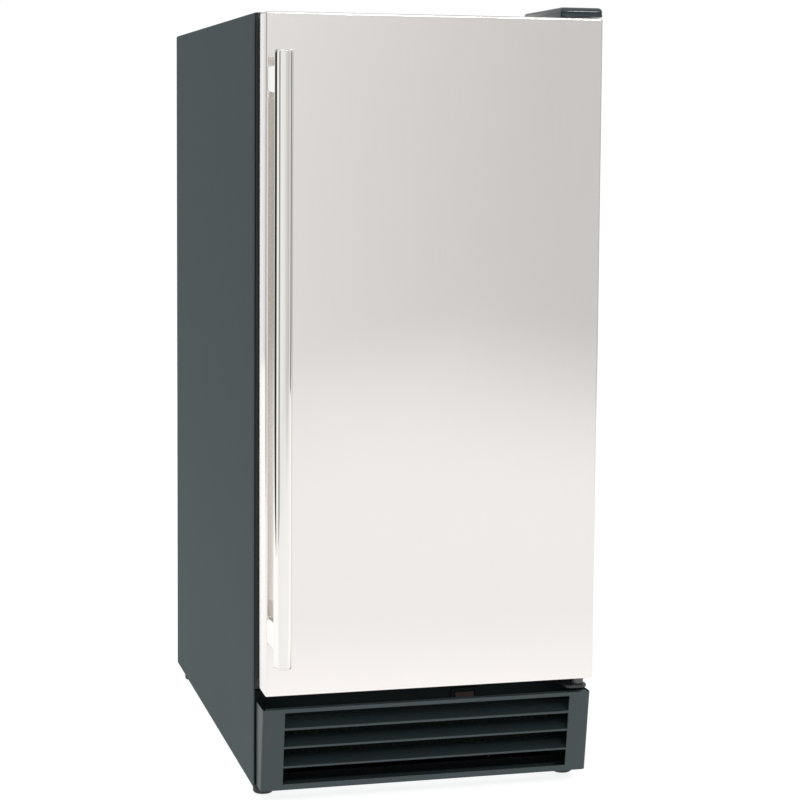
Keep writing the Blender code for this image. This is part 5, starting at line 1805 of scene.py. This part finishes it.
    def _services(self) -> None:
        """The ports at the back, the power bush and the control box."""
        threads = np.arange(0.3180, 0.3352, 0.0008)
        for node, radius in (("water_inlet_fitting", 0.0110), ("drain_outlet_fitting", 0.0100)):
            port = Extent.of(node)
            crest = np.column_stack([radius - 0.0007 * (np.arange(len(threads)) % 2) - 0.0001, threads])
            bore = radius - 0.0034
            profile = chain(
                [[0.0001, 0.3000], [radius - 0.001, 0.3000], [radius, 0.3010], [radius, 0.3172]], crest,
                [
                    [radius - 0.0012, 0.3365], [radius - 0.002, 0.3370], [bore, 0.3370], [bore, 0.3160],
                    [0.0001, 0.3155],
                ],
            )
            rows = turned(profile, (port.middle[0], 0, port.middle[2]), Axis.Y, 40)
            Skin().solid(rows).piece(node.replace("_fitting", "_port"), BOLT, "cabinet", node)
        power = Extent.of("power_inlet")
        ends = [
            [0.0001, power.low[1]], [0.0085, power.low[1]], [0.0090, power.low[1] + 0.001],
            [0.0090, 0.3190], [0.0084, 0.3196], [0.0084, 0.3204], [0.0090, 0.3210], [0.0088, 0.3240],
            [0.0078, 0.3250], [0.0062, 0.3250], [0.0058, 0.3210], [0.0001, 0.3205],
        ]
        rows = turned(np.array(ends), (power.middle[0], 0, power.middle[2]), Axis.Y, 40)
        Skin().solid(rows).piece("power_bush", BLACK, "cabinet", "power_inlet")
        low, high = self.box.low[1], self.box.high[1]
        limits = self.box.across(Axis.Y)
        steps = np.array([
            [0.0010, low], [0.0002, low + 0.0006], [0.0002, low + 0.0180], [0.0009, low + 0.0183],
            [0.0009, low + 0.0190], [0, low + 0.0193], [0, high - 0.0010], [0.0010, high],
        ])
        Skin().solid(
            lofted(nested(limits, 0.0050, steps), Axis.Y, 5)
        ).piece("control_case", BLACK, "cabinet", "control_box")

    def _switch(self) -> None:
        """The switch's surround, a ring with a soft inner edge, and the rocker, a saddle-topped key."""
        case, key = Extent.of("switch_bezel"), Extent.of("rocker_switch")
        front = case.low[1]
        mouth = box_limits(case.middle[[0, 2]], np.array([0.0115, 0.0046]))
        face = nested(
            case.across(Axis.Y), 0.0022,
            chain([[0.0, front + 0.0019]], roll(0, front, 0.0006, 1, 3)[::-1]),
        )
        well = nested(
            mouth, 0.0008, chain(roll(0, front, 0.0004, 1, 3) * [-1, 1], [[0, front + 0.0126]]),
        )
        body = nested(mouth, 0.0010, np.array([[-0.0011, front + 0.0136], [-0.0011, front + 0.0019]]))
        # The surround takes the rail's near-black plastic, which paints the shade of the recess.
        Skin().hoop(
            lofted(chain(face, well, body), Axis.Y, 4)
        ).piece("switch_frame", RAIL_SHADE, "cabinet", "switch_bezel")
        x = key.middle[0]
        share = np.linspace(-1, 1, 15)
        crown = np.column_stack([x + 0.0106 * share, key.low[1] + 0.0002 + 0.0014 * share**2])
        tail = [[x + 0.0106, front + 0.0054], [x, front + 0.0086], [x - 0.0106, front + 0.0054]]
        outline = chain(crown, tail)
        Skin().solid(
            prism(outline, Axis.Z, key.low[2], key.high[2], 0.0005)
        ).piece("rocker_key", KEY, "rocker", "rocker_switch")


# The studio


def basis(right: Array, up: Array, back: Array, origin: Point) -> Matrix:
    """A matrix with those three axes and that origin."""
    rows = np.eye(4)
    rows[:3, 0], rows[:3, 1], rows[:3, 2], rows[:3, 3] = right, up, back, origin
    return Matrix(rows.tolist())


@dataclass(frozen=True)
class Card:
    """A soft light: a rectangle that faces a point."""

    name: str
    place: Point
    target: Point
    size: Pair
    power: float
    colour: Point = (1.0, 1.0, 1.0)

    def build(self) -> None:
        """Makes the area light."""
        data = bpy.data.lights.new(self.name, "AREA")
        data.shape = "RECTANGLE"
        data.size, data.size_y = self.size
        data.energy = self.power
        data.color = self.colour
        light = bpy.data.objects.new(self.name, data)
        bpy.context.scene.collection.objects.link(light)
        back = unit(np.array(self.place) - np.array(self.target))
        right = unit(np.cross([0.0, 0.0, 1.0], back))
        light.matrix_world = basis(right, np.cross(back, right), back, self.place)


RING = (
    (0.000, 1.03), (0.038, 1.00), (0.048, 0.78), (0.069, 0.60), (0.089, 0.06), (0.153, 0.02), (0.189, 0.05),
    (0.2139, 0.05), (0.2194, 1.00), (0.289, 1.10), (0.306, 0.35), (0.339, 0.30), (0.361, 0.88), (0.403, 0.98),
    (0.460, 0.92), (0.515, 0.88), (0.570, 0.69), (0.611, 0.70), (0.633, 0.60), (0.667, 0.60), (0.683, 0.85),
    (0.722, 0.75), (0.750, 0.15), (0.811, 0.12), (0.839, 0.55), (0.875, 1.00), (1.000, 1.03),
)


@dataclass
class Studio:
    """The camera, the pale floor, the surroundings and the lights.

    The ring holds the levels of light round the horizon, from straight behind the object by its
    left, front and right to behind it again. It is white behind, bright at the left and grey in
    front, with dark flags at the back left, the front left and the right.
    """

    eye: Point = (-0.58666, -2.44256, 0.70967)
    yaw: float = 14.624
    pitch: float = -4.863
    tilt: float = 0.441
    lens: float = 95.833
    shift: Pair = (-0.01951, -0.1000)
    ring: tuple[Pair, ...] = RING
    top: float = 1.25
    below: float = 1.02
    albedo: float = 0.40
    floor_x: Pair = (-1.6, 3.6)
    floor_y: Pair = (-4.2, 4.0)
    glow_near: float = 0.62
    glow_far: float = 0.53
    glow_right: float = 0.34
    glow_behind: float = 0.80
    cards: tuple[Card, ...] = (
        Card("key_overhead", (-0.8, -1.0, 3.4), (0.0, 0.0, 0.3), (2.6, 2.6), 10.0),
        Card("strip", (1.1, -3.2, 2.4), (0.0, -0.2, 0.8), (1.4, 0.10), 32.0),
    )

    def build(self) -> None:
        """Makes everything round the object."""
        self._camera()
        self._floor()
        self._surroundings()
        for card in self.cards:
            card.build()
        bpy.context.scene.view_settings.view_transform = "Standard"

    def _camera(self) -> None:
        """A long lens a little below the object's top, turned and tilted by the three angles."""
        yaw, pitch, tilt = (math.radians(angle) for angle in (self.yaw, self.pitch, self.tilt))
        level = math.cos(pitch)
        ahead = np.array([math.sin(yaw) * level, math.cos(yaw) * level, math.sin(pitch)])
        right = np.array([math.cos(yaw), -math.sin(yaw), 0.0])
        up = np.cross(right, ahead)
        across = math.cos(tilt) * right + math.sin(tilt) * up
        upward = math.cos(tilt) * up - math.sin(tilt) * right
        data = bpy.data.cameras.new("camera")
        data.sensor_width = 36.0
        data.lens = self.lens
        data.shift_x, data.shift_y = self.shift
        data.clip_start, data.clip_end = 0.05, 100.0
        camera = bpy.data.objects.new("camera", data)
        bpy.context.scene.collection.objects.link(camera)
        camera.matrix_world = basis(across, upward, -ahead, self.eye)
        bpy.context.scene.camera = camera

    def _floor(self) -> None:
        """A wide pale sheet with a little light of its own, which fades towards the far front."""
        x, y = np.meshgrid(np.linspace(*self.floor_x, 27), np.linspace(*self.floor_y, 42))
        points = np.stack([x, y, np.zeros_like(x)], axis=-1).reshape(-1, 3)
        index = np.arange(x.size).reshape(x.shape)
        corners = (index[:-1, :-1], index[:-1, 1:], index[1:, 1:], index[1:, :-1])
        quads = np.stack(corners, axis=-1).reshape(-1, 4)
        mesh = bpy.data.meshes.new("floor")
        mesh.from_pydata(points.tolist(), [], quads.tolist())
        mesh.materials.append(self._floor_finish())
        floor = bpy.data.objects.new("floor", mesh)
        bpy.context.scene.collection.objects.link(floor)

    def _floor_finish(self) -> bpy.types.Material:
        """White, with a faint cloud, and a glow that fades far in front and rises behind."""
        material = bpy.data.materials.new("floor_white")
        material.use_nodes = True
        graph = Graph(material.node_tree)
        position = graph.add("ShaderNodeTexCoord").outputs["Object"]
        grain = graph.add("ShaderNodeTexNoise", {"Vector": position, "Scale": 9.0}).outputs[0]
        pale, paler = ((self.albedo + side * 0.01,) * 3 + (1.0,) for side in (-1, 1))
        colour = graph.blend(grain, pale, paler)
        parts = graph.add("ShaderNodeSeparateXYZ", {"Vector": position}).outputs
        aside = {
            "Value": parts["X"], "From Min": 0.3, "From Max": 1.7, "To Min": self.glow_far,
            "To Max": self.glow_right,
        }
        far = graph.add("ShaderNodeMapRange", aside).outputs[0]
        fade = {
            "Value": parts["Y"], "From Min": -1.2, "From Max": -2.9, "To Min": self.glow_near,
            "To Max": far,
        }
        glow = graph.add("ShaderNodeMapRange", fade, interpolation_type="SMOOTHSTEP").outputs[0]
        behind = {
            "Value": parts["Y"], "From Min": -0.9, "From Max": -0.4, "To Min": 0.0,
            "To Max": self.glow_behind - self.glow_near,
        }
        extra = graph.add("ShaderNodeMapRange", behind, interpolation_type="SMOOTHSTEP").outputs[0]
        glow = graph.add("ShaderNodeMath", {"0": glow, "1": extra}, operation="ADD").outputs[0]
        sockets = {
            "Base Color": colour,
            "Roughness": 0.9,
            "Specular IOR Level": 0.05,
            "Emission Color": (1, 1, 1, 1),
            "Emission Strength": glow,
        }
        shader = graph.add("ShaderNodeBsdfPrincipled", sockets).outputs[0]
        graph.add("ShaderNodeOutputMaterial", {"Surface": shader})
        return material

    def _surroundings(self) -> None:
        """The levels of light by direction."""
        world = bpy.data.worlds.new("studio")
        bpy.context.scene.world = world
        world.use_nodes = True
        graph = Graph(world.node_tree)
        direction = graph.add("ShaderNodeTexCoord").outputs["Generated"]
        parts = graph.add("ShaderNodeSeparateXYZ", {"Vector": direction}).outputs
        front = graph.add("ShaderNodeMath", {"0": parts["Y"], "1": -1.0}, operation="MULTIPLY").outputs[0]
        angle = graph.add("ShaderNodeMath", {"0": parts["X"], "1": front}, operation="ARCTAN2").outputs[0]
        turn = {"Value": angle, "From Min": -math.pi, "From Max": math.pi}
        share = graph.add("ShaderNodeMapRange", turn).outputs[0]
        ramp = graph.add("ShaderNodeValToRGB", {"Fac": share})
        stops = ramp.color_ramp.elements
        for turn_share, level in self.ring:
            ends = {0.0: 0, 1.0: len(stops) - 1}
            stop = stops[ends[turn_share]] if turn_share in ends else stops.new(turn_share)
            stop.color = (level / self.top,) * 3 + (1.0,)
        around = graph.add(
            "ShaderNodeMath", {"0": ramp.outputs[0], "1": self.top}, operation="MULTIPLY",
        ).outputs[0]
        dome_sockets = {
            "Value": parts["Y"], "From Min": -0.2, "From Max": 0.6, "To Min": 0.92, "To Max": 0.52,
        }
        dome = graph.add("ShaderNodeMapRange", dome_sockets).outputs[0]
        up = {"Value": parts["Z"], "From Min": 0.13, "From Max": 0.21}
        upward = graph.add("ShaderNodeMapRange", up, interpolation_type="SMOOTHSTEP").outputs[0]
        down = {"Value": parts["Z"], "From Min": -0.17, "From Max": -0.24}
        downward = graph.add("ShaderNodeMapRange", down, interpolation_type="SMOOTHSTEP").outputs[0]
        level = graph.add("ShaderNodeMix", {"0": upward, "2": around, "3": dome}).outputs[0]
        level = graph.add("ShaderNodeMix", {"0": downward, "2": level, "3": self.below}).outputs[0]
        sockets = {"Color": (1, 1, 1, 1), "Strength": level}
        light = graph.add("ShaderNodeBackground", sockets).outputs[0]
        graph.add("ShaderNodeOutputWorld", {"Surface": light})


def main() -> None:
    """Builds the sub-assemblies in order, then the studio."""
    logging.basicConfig(level=logging.INFO, format="%(message)s")
    assemblies = (
        Cabinet(), Hinges(), Door(), Handle(), ToeGrille(), Feet(), IceUnit(), BinFittings(), Machinery(),
    )
    for assembly in assemblies:
        LOG.info("%s", type(assembly).__name__)
        assembly.build()
    dress_kept_nodes()
    Studio().build()


if __name__ == "__main__":
    main()
